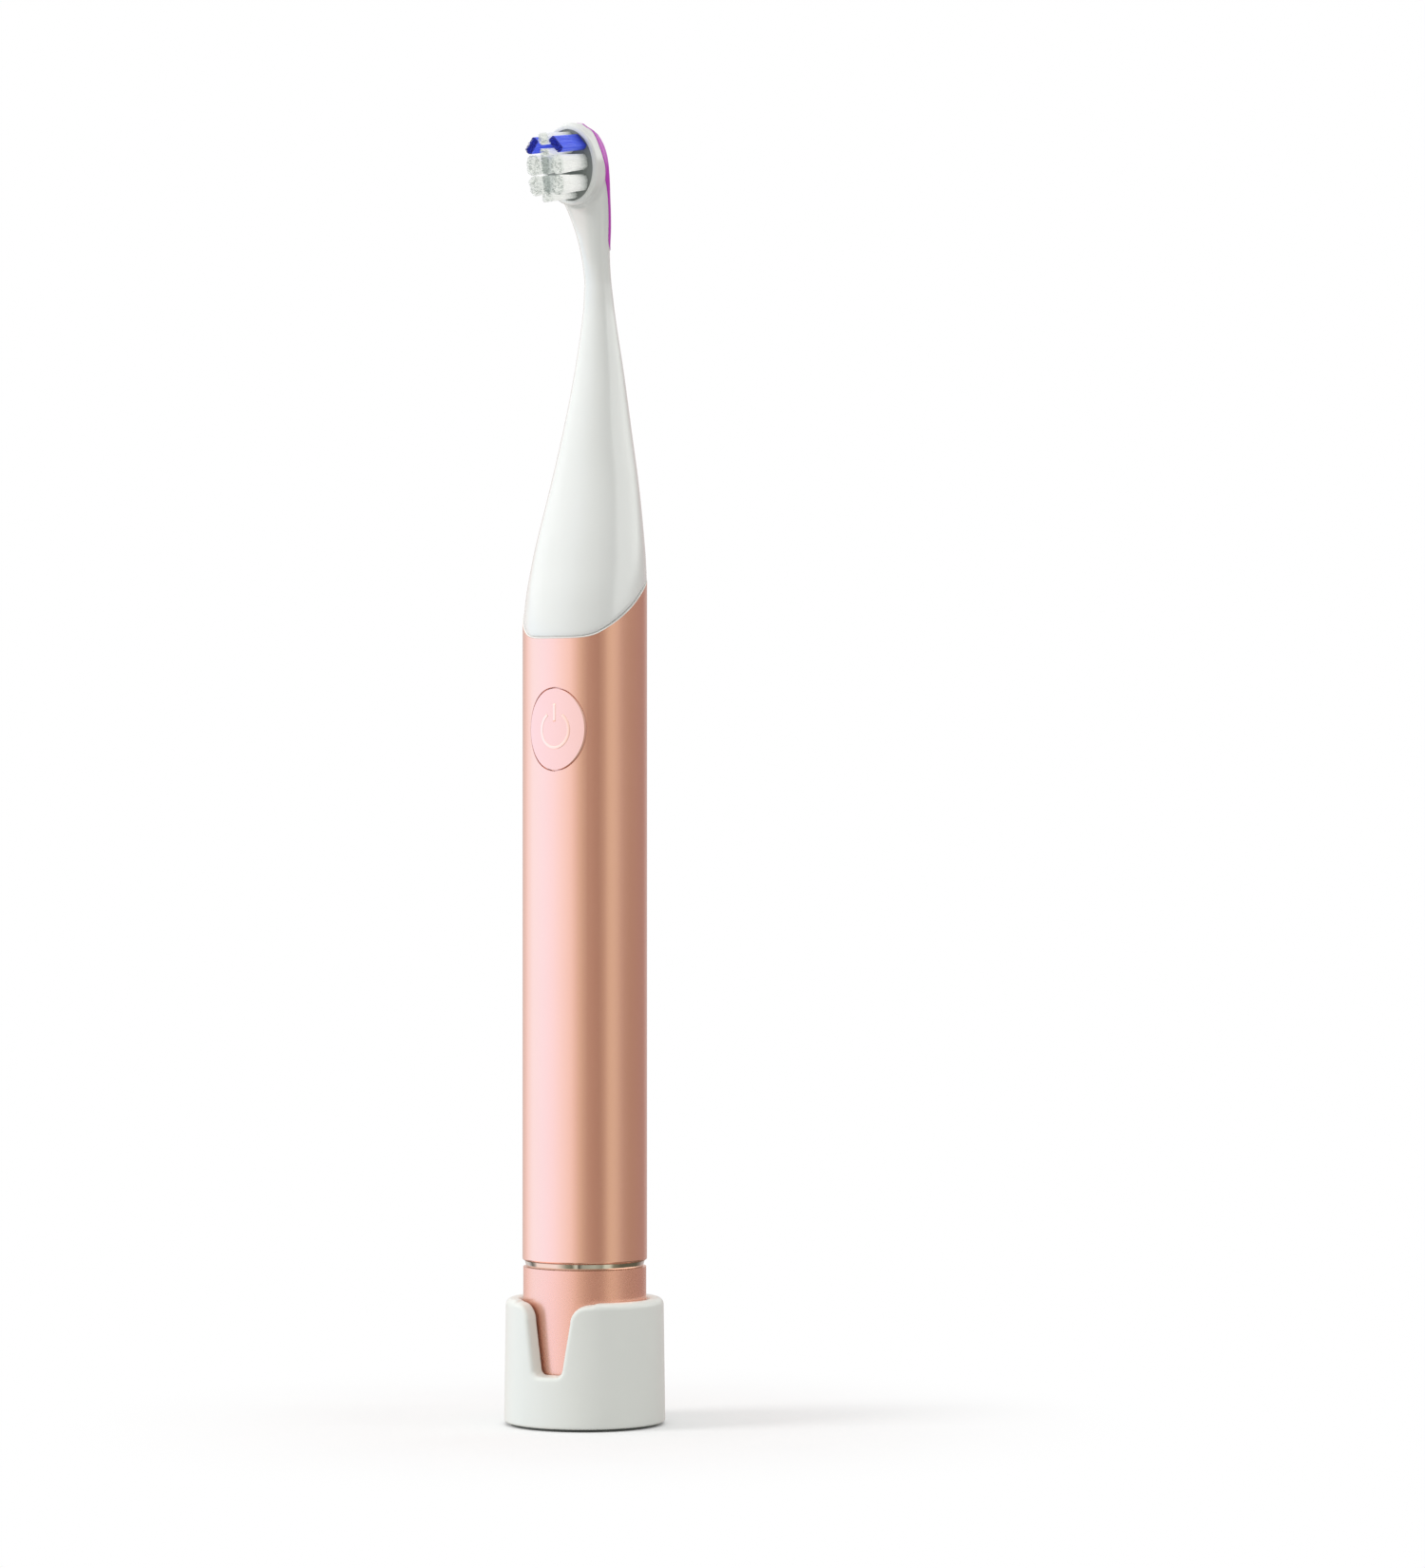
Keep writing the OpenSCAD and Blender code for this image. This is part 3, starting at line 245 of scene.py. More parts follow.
# Tones of the room in steps round the brush, from behind it and back again:
# at its own height, lower down, where only the trim ring mirrors them, and
# higher up, where the head's slope and every rounded edge mirror them
tones = [
    (-180, "887C7A"), (-150, "948C8A"), (-125, "9F9896"), (-111, "AFA9AB"), (-100, "B9BCC4"),
    (-84, "BCCCDE"), (-56, "BCCBE2"), (-34, "BDC6DA"), (-20, "BCC1CE"), (3, "B8B5B7"),
    (12, "ABA4A1"), (21, "9D9587"), (30, "8C8178"), (40, "827369"), (50, "7D6E65"),
    (58, "7A6C63"), (66, "897D72"), (75, "9E988A"), (86, "9D978B"), (95, "948C82"),
    (105, "857A72"), (120, "7E7167"), (150, "7D6E69"), (166, "7C6C68"), (180, "887C7A"),
]
low_tones = [
    (-180, "4A463C"), (-100, "46433A"), (-90, "8A7F7C"), (-84, "CAB3B0"), (-35, "CAB3B0"),
    (-26, "B4A49C"), (-11, "726E62"), (2, "58554A"), (8, "9F9A8E"), (12, "A6A298"),
    (15, "35312A"), (19, "5E5C54"), (25, "807E74"), (50, "8B897E"), (66, "727066"),
    (73, "A6A396"), (84, "A6A396"), (92, "686254"), (110, "4A463A"), (180, "4A463C"),
]
high_tones = [
    (-180, "A8A8A6"), (-120, "B8BABC"), (-84, "D8DCE0"), (-20, "D0D4D8"), (20, "A4A49E"),
    (60, "908E86"), (76, "989690"), (86, "FFFFFA"), (140, "FFFFFA"), (165, "B4B4B0"),
    (180, "A8A8A6"),
]


def room_ring(steps):
    """The room's tones all round the brush."""
    stops = [((side + 180) / 360, linear(code)[:3]) for side, code in steps]
    return shader.node("ShaderNodeValToRGB", {"stops": stops}, {0: turn})


low_edge, high_edge = (-0.34, -0.22), (0.13, 0.24)      # where the three rings meet
mirror_strength, level_strength, top_strength = 2.4, 0.38, 1.0
room_tones = shader.blend(shader.step(z, *low_edge), room_ring(low_tones), room_ring(tones))
room_tones = shader.blend(shader.step(z, *high_edge), room_tones, room_ring(high_tones))
mirrored = shader.node(
    "ShaderNodeBackground", inputs={"Color": room_tones, "Strength": mirror_strength})
from_above = shader.node(
    "ShaderNodeMapRange", {}, {0: z, 1: 0, 2: 1, 3: level_strength, 4: top_strength})
white = (1, 1, 1, 1)
soft = shader.node("ShaderNodeBackground", inputs={"Color": white, "Strength": from_above})
shown = shader.node("ShaderNodeBackground", inputs={"Color": white, "Strength": 1.0})
glossy_ray = shader.node("ShaderNodeLightPath", output="Is Glossy Ray")
camera_ray = shader.node("ShaderNodeLightPath", output="Is Camera Ray")
clear_ray = shader.node("ShaderNodeLightPath", output="Is Transmission Ray")
room_mix = shader.node("ShaderNodeMixShader", inputs={0: glossy_ray, 1: soft, 2: mirrored})
plain_ray = camera_ray.maths("MAXIMUM", clear_ray)
shader.end(shader.node("ShaderNodeMixShader", inputs={0: plain_ray, 1: room_mix, 2: shown}))


# ---- Charger's foot ----
# A grey rubber disc hides three steel screws, which hold the round cover in
# the cup's underside. The cover is moulded with a fine spark-eroded grain.
def finish(name, colour, rough, metallic=0.0, patch=0.01, shift=0.03, spread=0.06,
           grain=0.0003, relief=0.000004, stretch=None, **sockets):
    """A finish whose tone and gloss drift by patches and whose surface has a grain."""
    material = bpy.data.materials.new(name)
    made = Shader(material)
    drift = made.noise(patch)
    fine = made.noise(grain, 3, stretch)
    base = linear(colour)
    dark = tuple(c * (1 - shift) for c in base[:3]) + (1,)
    tone = made.blend(drift, dark, tuple(c * (1 + shift) for c in base[:3]) + (1,))
    made.surface(tone, (drift - 0.5) * spread + (fine - 0.5) * spread + rough, metallic,
                 fine, relief, **sockets)
    return material


def dress(material, *names):
    """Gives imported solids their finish."""
    for name in names:
        for slot in nodes[name].material_slots:
            slot.material = material


dress(finish("foot_rubber", "6E7471", 0.75, grain=0.0006, relief=0.00002), "foot_pad")
dress(finish("cover_plastic", "E3E5E0", 0.55, grain=0.0004, relief=0.00001), "bottom_cover")
dress(finish("zinc_steel", "C4C6C8", 0.3, 1.0, grain=0.0002), "cover_screws", "board_screws")

# ---- Charger's electronics ----
# A green glass-fibre board with tinned tracks carries the controller and a
# ferrite bobbin, whose copper winding stands inside the charging post.
board_green = bpy.data.materials.new("board_green")
shader = Shader(board_green)
tracks = shader.node(
    "ShaderNodeTexBrick",
    {"offset": 0.35, "squash": 0.7, "squash_frequency": 3},
    {"Vector": shader.place(), "Scale": 420.0, "Mortar Size": 0.09, "Mortar Smooth": 0.2},
    output="Fac",
)
lacquer = shader.blend(shader.noise(0.004), linear("0F4A2E"), linear("17603B"))
tone = shader.blend(tracks, lacquer, linear("2F8A58"))
shader.surface(tone, tracks * 0.1 + 0.35, 0.0, tracks, 0.00003)
dress(board_green, "base_board", "main_board")
dress(finish("chip_epoxy", "1B1C1E", 0.5, grain=0.0001, relief=0.000006),
      "base_chips", "board_chips")
dress(finish("ferrite", "3A3B3E", 0.7, grain=0.0002, relief=0.00001),
      "primary_core", "coil_shield")


def winding(name, pitch, along):
    """Enamelled copper wire wound in close turns, pitch apart along x, y or z."""
    material = bpy.data.materials.new(name)
    made = Shader(material)
    crown = (made.axes()[along] * (math.tau / pitch)).maths("SINE") * 0.5 + 0.5
    # Painted shade in the grooves between the turns and a painted highlight along each turn's
    # crown
    tone = made.blend(crown, linear("6E3418"), linear("C9743C"))
    made.surface(tone, 0.5 - crown * 0.25, 1.0, crown, 0.00006)
    return material


dress(winding("copper_turns", 0.0004, 2), "primary_coil", "secondary_coil")
dress(winding("copper_bundle", 0.0005, 0), "motor_coil")

# ---- Power inlet ----
# A folded bright tin shell, let into the cup's back, with a black contact
# tongue that carries two rows of gold-plated springs.
dress(finish("bright_tin", "BFC1C2", 0.22, 1.0, grain=0.0004), "inlet_shell", "battery_tabs")
spring_pitch = 0.00085                  # of the contact springs, in metres
inlet_black = bpy.data.materials.new("inlet_black")
shader = Shader(inlet_black)
x = shader.axes()[0]
contact = shader.step((x / spring_pitch).maths("PINGPONG", 0.5), 0.22, 0.28)
tone = shader.blend(contact, linear("18191B"), linear("D2A84C"))
shader.surface(tone, 0.5 - contact * 0.25, contact, contact, 0.00003)
dress(inlet_black, "inlet_tongue")

# ---- Cup ----
# One moulding in satin white ABS: a round wall with a notch in front, a
# floor, and the hollow keyed post that the brush charges on.
cup_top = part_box("cup_shell")[1].z / mm
floor_z, post_top_z = 9.0, 17.0         # socket floor and top of the post
core_r, core_top_z = 2.9, 15.75         # the bore up the post, for the bobbin
foot_r, rim_r, socket_r = 15.5, 15.2, 12.2
rim_round, mouth_round = 1.3, 0.9
post_r, post_flat_y = 4.2, -3.6
notch_z, notch_half, mouth_half = 10.6, 2.4, 3.8
notch_corner, notch_flare = 1.2, 3.8
notch_edge = 0.9                        # softening of the notch's edges
notch_splay, sill_splay = 0.5, 0.38     # how far it widens and swells towards the outside
notch_back_y = -7.2
bay_z, bay_top_z, bay_r = 2.7, 7.5, 12.5
board_top_z = 4.3
cover_r, cover_z = 13.9, 1.2            # the recess for the bottom cover
pad_r, foot_lift = 14.7, 0.5            # the recess for the rubber disc
screw_pitch_r, screw_hole_r, boss_r, boss_neck_r = 9.3, 0.8, 1.9, 1.35
inlet_z, inlet_half, inlet_tall = 5.85, 4.57, 1.65


def arc(x, y, r, start, end, count=10):
    """Points of an arc round (x, y), angles in degrees."""
    turn = np.radians(np.linspace(start, end, count + 1))
    return [(x + r * math.cos(a), y + r * math.sin(a)) for a in turn]


def outline_depth(x, y, outline):
    """How far points lie outside a closed outline, and below 0 inside it."""
    best = np.full(len(x), 1e9)
    inside = np.zeros(len(x), bool)
    for (ax, ay), (bx, by) in zip(outline, outline[1:] + outline[:1]):
        ex, ey = bx - ax, by - ay
        if ex * ex + ey * ey < 1e-12:
            continue
        along = np.clip(((x - ax) * ex + (y - ay) * ey) / (ex * ex + ey * ey), 0, 1)
        best = np.minimum(best, np.hypot(x - ax - along * ex, y - ay - along * ey))
        if ay != by:
            crosses = (ay > y) != (by > y)
            inside ^= crosses & (x < ax + (y - ay) * ex / ey)
    return np.where(inside, -best, best)


def soft_max(a, b, edge):
    """The larger of two depths, with the edge where they meet rounded off."""
    share = np.maximum(edge - np.abs(a - b), 0) / edge
    return np.maximum(a, b) + share * share * edge / 4


def slope_of(depth, points, reach=0.02):
    """The gradient of a depth at each point."""
    slope = np.empty_like(points)
    for axis in range(3):
        offset = np.zeros(3)
        offset[axis] = reach
        slope[:, axis] = (depth(points + offset) - depth(points - offset)) / (2 * reach)
    return slope


def remould(name, source, grid, depth, rounds=5):
    """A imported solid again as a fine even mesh, each point settled where depth is 0."""
    piece = bpy.data.objects.new(name, nodes[source].data.copy())
    bpy.context.scene.collection.objects.link(piece)
    remesh = piece.modifiers.new("grid", "REMESH")
    remesh.mode, remesh.voxel_size = "VOXEL", grid * mm
    fine = bpy.data.meshes.new_from_object(
        piece.evaluated_get(bpy.context.evaluated_depsgraph_get()))
    piece.modifiers.clear()
    piece.data = fine
    points = np.empty(len(fine.vertices) * 3)
    fine.vertices.foreach_get("co", points)
    points = points.reshape(-1, 3) / mm
    for _ in range(rounds):
        slope = slope_of(depth, points)
        steep = np.maximum((slope**2).sum(1), 0.05)
        move = np.clip(depth(points) / steep, -grid, grid)
        points -= slope * move[:, None]
    fine.vertices.foreach_set("co", (points * mm).ravel())
    fine.polygons.foreach_set("use_smooth", [True] * len(fine.polygons))
    slope = slope_of(depth, points)
    fine.normals_split_custom_set_from_vertices(
        slope / np.maximum(np.linalg.norm(slope, axis=1), 1e-6)[:, None])
    fine.update()
    return piece


cup_profile = (
    arc(foot_r - 0.4, 0.9, 0.4, -90, 0, 6)
    + arc(rim_r - rim_round, cup_top - rim_round, rim_round, 0, 90)
    + arc(socket_r + mouth_round, cup_top - mouth_round, mouth_round, 90, 180)
    + [(socket_r, floor_z), (post_r, floor_z)]
    + arc(post_r - 0.6, post_top_z - 0.6, 0.6, 0, 90, 6)
    + [(-1, post_top_z), (-1, core_top_z), (core_r, core_top_z), (core_r, bay_top_z),
       (bay_r, bay_top_z), (bay_r, bay_z), (cover_r, bay_z), (cover_r, cover_z),
       (pad_r, cover_z), (pad_r, foot_lift)]
)
notch_side = (
    arc(notch_half - notch_corner, notch_z + notch_corner, notch_corner, -90, 0)
    + arc(mouth_half + notch_flare, cup_top - notch_flare, notch_flare, 180, 90)
    + [(mouth_half + notch_flare, cup_top + 3)]
)
notch = notch_side + [(-x, z) for x, z in reversed(notch_side)]
screw_turns = np.radians([30, 150, 270])


def cup_depth(points):
    """Depth of points outside the cup's form."""
    x, y, z = points.T
    depth = outline_depth(np.hypot(x, y), z, cup_profile)
    for turn in screw_turns:
        off = np.hypot(x - screw_pitch_r * math.cos(turn), y - screw_pitch_r * math.sin(turn))
        boss = np.maximum(off - np.where(z < board_top_z, boss_neck_r, boss_r), bay_z - z)
        boss = np.maximum(boss, z - bay_top_z - 0.4)
        hole = np.maximum(off - screw_hole_r, z - bay_top_z + 0.6)
        depth = np.maximum(np.minimum(depth, boss), -hole)
    out = np.clip((np.hypot(x, y) - socket_r) / (rim_r - socket_r), 0, 1.2)
    cut = outline_depth(np.maximum(np.abs(x) - out * notch_splay, 0), z, notch) - out * sill_splay
    cut = np.maximum(cut, y - notch_back_y)
    depth = soft_max(depth, -cut, notch_edge)
    key = np.maximum(np.maximum(np.abs(x) - post_r, y - post_flat_y),
                     np.maximum(-y - 2 * post_r, floor_z - z))
    depth = np.maximum(depth, -key)
    inlet = np.hypot(np.maximum(np.abs(x) - inlet_half + inlet_tall, 0), z - inlet_z)
    inlet = np.maximum(inlet - inlet_tall, bay_r - 1 - y)
    return soft_max(depth, -inlet, 0.2)


cup = remould("cup", "cup_shell", 0.34, cup_depth)
cup_white = finish("cup_white", "F0F3ED", 0.3, patch=0.006, shift=0.012, spread=0.05,
                   grain=0.00025, relief=0.000005)
cup.data.materials.clear()
cup.data.materials.append(cup_white)
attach(cup, "charger")
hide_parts("cup_shell")

# ---- Base cap ----
# The handle's lower end: injection-moulded, painted to match the tube, with a
# keyed recess for the post and an O-ring on the spigot that the tube slides on.
cap_paint = finish("cap_paint", "E8B5A2", 0.27, 0.9, patch=0.008, shift=0.02,
                   grain=0.0002, relief=0.000006)
dress(cap_paint, "base_cap")
dress(finish("seal_rubber", "26272A", 0.6, grain=0.0005, relief=0.00002),
      "base_seal", "shaft_seal")

# ---- Trim ring ----
# A thin turned brass ring, chromed and polished, that shines in the groove
# between cap and tube. The two trap it when the handle is pressed together.
chrome = finish("ring_chrome", "D0CEC6", 0.08, 1.0, patch=0.004, shift=0.03, spread=0.03,
                grain=0.0002, relief=0.000001)
dress(chrome, "trim_ring")

# ---- Handle tube ----
# Drawn aluminium, anodised rose gold over a fine satin brushing, cut off on a
# slant at the top and pierced with an oval window for the button.
rose_gold = bpy.data.materials.new("rose_gold")
shader = Shader(rose_gold)
brushed = shader.noise(0.00012, 2, (1.0, 1.0, 0.02))
drift = shader.noise(0.02)
tone = shader.blend(drift, linear("E8BAA8"), linear("EABEAC"))
shader.surface(tone, brushed * 0.05 + drift * 0.03 + 0.17, 1.0, brushed, 0.0000006)
dress(rose_gold, "handle_tube")

# ---- Inside the handle ----
# A glass-filled nylon carrier holds a shrink-wrapped cell, the board and the
# motor: a drawn can, a laminated ring, bronze bushings and a torsion bar.
dress(finish("carrier_nylon", "3B3D42", 0.55, grain=0.0003, relief=0.00002), "carrier")
cell_wrap = bpy.data.materials.new("cell_wrap")
shader = Shader(cell_wrap)
z = shader.axes()[2]
cell_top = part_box("battery_cell")[1].z
bare = shader.step(z, cell_top - 0.0022, cell_top - 0.002)
tone = shader.blend(shader.noise(0.006), linear("1E4F86"), linear("24598F"))
shader.surface(shader.blend(bare, tone, linear("BFC0BE")), 0.3 - bare * 0.05, bare,
               shader.noise(0.0012), 0.00003)
dress(cell_wrap, "battery_cell")
dress(finish("can_steel", "B4B5B6", 0.3, 1.0, stretch=(1, 1, 12)), "motor_can")
sheet_pitch = 0.0005                    # of the stator's iron sheets, in metres
laminated = bpy.data.materials.new("laminated_iron")
shader = Shader(laminated)
z = shader.axes()[2]
sheets = (z * (math.tau / sheet_pitch)).maths("SINE") * 0.5 + 0.5
tone = shader.blend(sheets, linear("3E4044"), linear("7C7F84"))
shader.surface(tone, 0.5, 1.0, sheets, 0.00004)
dress(laminated, "stator_core")
dress(finish("sintered_bronze", "A9824C", 0.5, 1.0, grain=0.0002, relief=0.00001),
      "shaft_bushings")
dress(finish("ground_steel", "C6C8CA", 0.2, 1.0, stretch=(1, 1, 20)),
      "drive_shaft", "torsion_bar")
dress(finish("magnet_nickel", "BDB9AE", 0.24, 1.0, grain=0.0003), "rotor_magnets")
dress(finish("switch_black", "222326", 0.45, grain=0.0002, relief=0.00001), "switch_body")
dress(finish("plunger_white", "D8D6CF", 0.4), "switch_plunger")
dress(finish("nose_white", "EEF0ED", 0.4, grain=0.0003, relief=0.00001), "nose_collar")

# ---- Seam lip ----
# A soft white sealing lip, moulded on the tube's slanted end. It nearly closes
# the joint in front, and is lower at the sides, where the head's swing needs room.
seam_z, handle_r, seam_gap = 151.0, 12.0, 0.38
seam_slope, seam_front_r, seam_back_r = math.radians(38.3), 5.0, 24.0
swing = math.radians(1.6)               # the head's swing to either side
lip_air, lip_points = 0.055, 160        # what stays open above the lip


def seam_at(y):
    """Height of the slanted joint above its lowest point."""
    y = np.asarray(y, float)
    foot_y = -handle_r + seam_front_r * math.sin(seam_slope)
    foot_h = seam_front_r * (1 - math.cos(seam_slope))
    axis_h = foot_h - foot_y * math.tan(seam_slope)
    front = seam_front_r - np.sqrt(np.maximum(seam_front_r**2 - (y + handle_r) ** 2, 0))
    middle = foot_h + (y - foot_y) * math.tan(seam_slope)
    off = y - seam_back_r * math.sin(seam_slope)
    back = axis_h + np.sqrt(np.maximum(seam_back_r**2 - off**2, 0)) - seam_back_r * math.cos(
        seam_slope)
    return np.where(y < -handle_r, 0, np.where(y < foot_y, front, np.where(y < 0, middle, back)))


def seam_lip():
    """A closed bead round the tube's slanted end."""
    points = []
    for turn in np.arange(lip_points) * math.tau / lip_points:
        out = np.array([math.cos(turn), math.sin(turn)])
        slope = float(seam_at(out[1] * handle_r + 0.05) - seam_at(out[1] * handle_r - 0.05)) * 10
        tall = seam_gap - lip_air - abs(slope * out[0]) * handle_r * swing
        for r, rise in ((handle_r - 0.75, -0.02), (handle_r - 0.04, -0.02),
                        (handle_r - 0.03, tall * 0.84), (handle_r - 0.06, tall * 0.96),
                        (handle_r - 0.13, tall), (handle_r - 0.65, tall),
                        (handle_r - 0.75, tall * 0.8)):
            low = seam_z + float(seam_at(out[1] * r)) - seam_gap / 2
            points.append((out[0] * r * mm, out[1] * r * mm, (low + rise) * mm))
    n = len(points) // lip_points
    faces = []
    for k in range(lip_points):
        here, there = k * n, (k + 1) % lip_points * n
        faces += [(here + i, there + i, there + (i + 1) % n, here + (i + 1) % n)
                  for i in range(n)]
    mesh = bpy.data.meshes.new("seam_lip")
    mesh.from_pydata(points, [], faces)
    mesh.polygons.foreach_set("use_smooth", [True] * len(mesh.polygons))
    made = bpy.data.objects.new("seam_lip", mesh)
    bpy.context.scene.collection.objects.link(made)
    return made


lip = seam_lip()
lip.data.materials.append(finish("lip_white", "FCFCF8", 0.5, grain=0.0003, relief=0.00001))
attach(lip, "handle")

# ---- Power button ----
# Soft-touch plastic in the tube's pink, nearly flush in its window. The power
# sign, a broken ring with a bar, is moulded a hair proud of the face.
dress(finish("gasket_brown", "8A5E4E", 0.6, grain=0.0003, relief=0.00002), "button_gasket")
button_pink = bpy.data.materials.new("button_pink")
shader = Shader(button_pink)
drift, fine = shader.noise(0.004), shader.noise(0.00015, 3)
straight = shader.node("ShaderNodeNewGeometry", output="Normal")
# The lacquer pools towards the middle, so the face shines flatter than it is
level = shader.node("ShaderNodeVectorMath", {"operation": "MULTIPLY_ADD"},
                    {0: straight, 1: (0.4, 0.4, 0.4), 2: (0, -0.6, 0)})
level = shader.node("ShaderNodeVectorMath", {"operation": "NORMALIZE"}, {0: level})
grained = shader.node("ShaderNodeBump",
                      inputs={"Height": fine, "Distance": 0.000003, "Normal": level})
shader.end(shader.node("ShaderNodeBsdfPrincipled", inputs={
    "Base Color": shader.blend(drift, linear("E7BDB0"), linear("E9C0B4")),
    "Roughness": drift * 0.04 + fine * 0.03 + 0.27, "Metallic": 1.0, "Normal": grained}))
dress(button_pink, "power_button")
button_low, button_high = (np.array(corner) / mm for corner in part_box("power_button"))
sign_z = (button_low[2] + button_high[2]) / 2
face_r = 14.0                            # rounding of the button's face
face_axis_y = button_low[1] + face_r
sign_half, sign_tall, stroke = 2.93, 3.38, 0.62
sign_gap = 32                            # half of the ring's opening, in degrees
sign_lift = 0.035


def ribbon(name, line, width, lift):
    """A low rounded bead along a line of (x, z) points on the button's face."""
    line = np.array(line)
    along = np.gradient(line, axis=0)
    along /= np.linalg.norm(along, axis=1)[:, None]
    across = np.stack([-along[:, 1], along[:, 0]], 1)
    section = [(-0.5, -0.03), (-0.46, lift * 0.6), (-0.36, lift), (0, lift * 1.1),
               (0.36, lift), (0.46, lift * 0.6), (0.5, -0.03)]
    points = []
    for centre, side in zip(line, across):
        for share, height in section:
            px, pz = centre + side * width * share
            py = face_axis_y - math.sqrt((face_r + height) ** 2 - px * px)
            points.append((px * mm, py * mm, pz * mm))
    n = len(section)
    faces = [(a * n + i, a * n + i + 1, (a + 1) * n + i + 1, (a + 1) * n + i)
             for a in range(len(line) - 1) for i in range(n - 1)]
    faces += [(a * n + n - 1, a * n, (a + 1) * n, (a + 1) * n + n - 1)
              for a in range(len(line) - 1)]
    faces += [tuple(range(n - 1, -1, -1)), tuple(range((len(line) - 1) * n, len(line) * n))]
    mesh = bpy.data.meshes.new(name)
    mesh.from_pydata(points, [], faces)
    mesh.polygons.foreach_set("use_smooth", [True] * len(mesh.polygons))
    made = bpy.data.objects.new(name, mesh)
    bpy.context.scene.collection.objects.link(made)
    return made


sign_line = finish("sign_line", "F3CDBC", 0.3, 1.0, patch=0.002, shift=0.01, grain=0.00015)
turns = np.radians(np.linspace(90 + sign_gap, 450 - sign_gap, 72))
ring = [(sign_half * math.cos(a), sign_z - 0.15 + sign_tall * math.sin(a)) for a in turns]
bar = [(0, z) for z in np.linspace(sign_z + 1.45, sign_z + 4.9, 12)]
for name, line in (("sign_ring", ring), ("sign_bar", bar)):
    bead = ribbon(name, line, stroke, sign_lift)
    bead.data.materials.append(sign_line)
    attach(bead, "button")

# ---- Brush head ----
# One glossy white moulding: a hollow foot cut on the handle's slant, a long
# neck that bends forward, and the oval end that the bristle plate sits in.
neck_z, top_z, shell_wall = 220.3, 249.5, 1.4
hollow_top_z, fan_z = 178.2, 226.0      # top of the hollow, and where the bend starts
neck_size = (2.7, 7.7, 2.62)            # front, back and half width
end_half, end_tall, end_thick = 6.05, 7.8, 6.6
face_y, face_tilt = -6.3, math.radians(9)
face_z = top_z - end_tall * math.cos(face_tilt)
crown_z = top_z - 0.3
plate_half, plate_tall, plate_floor = end_half - 1.0, end_tall - 1.0, 1.7
columns = 96
blend_reach = 1.6                       # how far the neck and the end melt together
last_turn = math.radians(98.93)         # of the fan of rings over the oval end
# Share of the neck's height, then of the way from handle to neck for the
# front, the back and the width
taper = [
    (-0.03, 0, 0, 0), (0, 0, 0, 0), (0.058, 0.03, 0, 0.006), (0.126, 0.095, 0, 0.03),
    (0.188, 0.185, 0, 0.064), (0.268, 0.295, 0, 0.14), (0.428, 0.53, 0.01, 0.345),
    (0.587, 0.7, 0.07, 0.575), (0.746, 0.87, 0.34, 0.765), (0.906, 0.98, 0.74, 0.94),
    (1, 1, 1, 1),
]
# The same from the neck to the oval end, and over its back to the top
bend = [
    (0, 0, 0, 0), (0.16, 0.1, 0.09, 0.03), (0.32, 0.24, 0.17, 0.13), (0.46, 0.38, 0.24, 0.29),
    (0.6, 0.58, 0.38, 0.48), (0.74, 0.82, 0.58, 0.7), (0.87, 0.96, 0.8, 0.9), (1, 1, 1, 1),
]
crown = [
    (0, 0, 0, 0), (0.25, 0.1, 0.08, 0.05), (0.5, 0.25, 0.2, 0.16), (0.72, 0.5, 0.36, 0.33),
    (0.88, 0.8, 0.58, 0.54), (1, 1, 1, 1),
]
# Depth below the face and size of the oval end, as shares
end_rings = [(0, 0.95), (0.03, 0.985), (0.07, 1), (0.36, 1), (0.48, 0.965), (0.58, 0.86),
             (0.64, 0.68), (0.68, 0.4), (0.7, 0.0)]


def glide(table, column, x):
    """A smooth curve through one column of a table."""
    places = np.array([row[0] for row in table])
    values = np.array([row[column] for row in table])
    tilts = np.empty(len(table))
    tilts[1:-1] = (values[2:] - values[:-2]) / (places[2:] - places[:-2])
    tilts[0] = (values[1] - values[0]) / (places[1] - places[0])
    tilts[-1] = (values[-1] - values[-2]) / (places[-1] - places[-2])
    row = np.clip(np.searchsorted(places, x, "right") - 1, 0, len(table) - 2)
    span = places[row + 1] - places[row]
    k = np.clip((x - places[row]) / span, 0, 1)
    rise = k * k * (3 - 2 * k)
    return (values[row] + (values[row + 1] - values[row]) * rise
            + span * tilts[row] * k * (1 - k) ** 2 - span * tilts[row + 1] * k * k * (1 - k))


def section_at(z, inset=0.0):
    """Front, back and half width of the foot, neck and back at a height."""
    z = np.asarray(z, float)
    foot = (-handle_r, handle_r, handle_r)
    body = (face_y + end_thick * 0.33, face_y + end_thick * 1.05, end_half * 0.985)
    tip = (face_y + end_thick * 0.1, face_y + end_thick * 0.6, end_half * 0.3)
    low = (z - seam_z) / (neck_z - seam_z)
    middle = (z - neck_z) / (face_z - neck_z)
    high = (z - face_z) / (crown_z - face_z)
    sizes = []
    for i in range(3):
        a = foot[i] + (neck_size[i] - foot[i]) * glide(taper, i + 1, low)
        b = neck_size[i] + (body[i] - neck_size[i]) * glide(bend, i + 1, middle)
        c = body[i] + (tip[i] - body[i]) * glide(crown, i + 1, high)
        sizes.append(np.where(z <= neck_z, a, np.where(z <= face_z, b, c)))
    return sizes[0] + inset, sizes[1] - inset, sizes[2] - inset


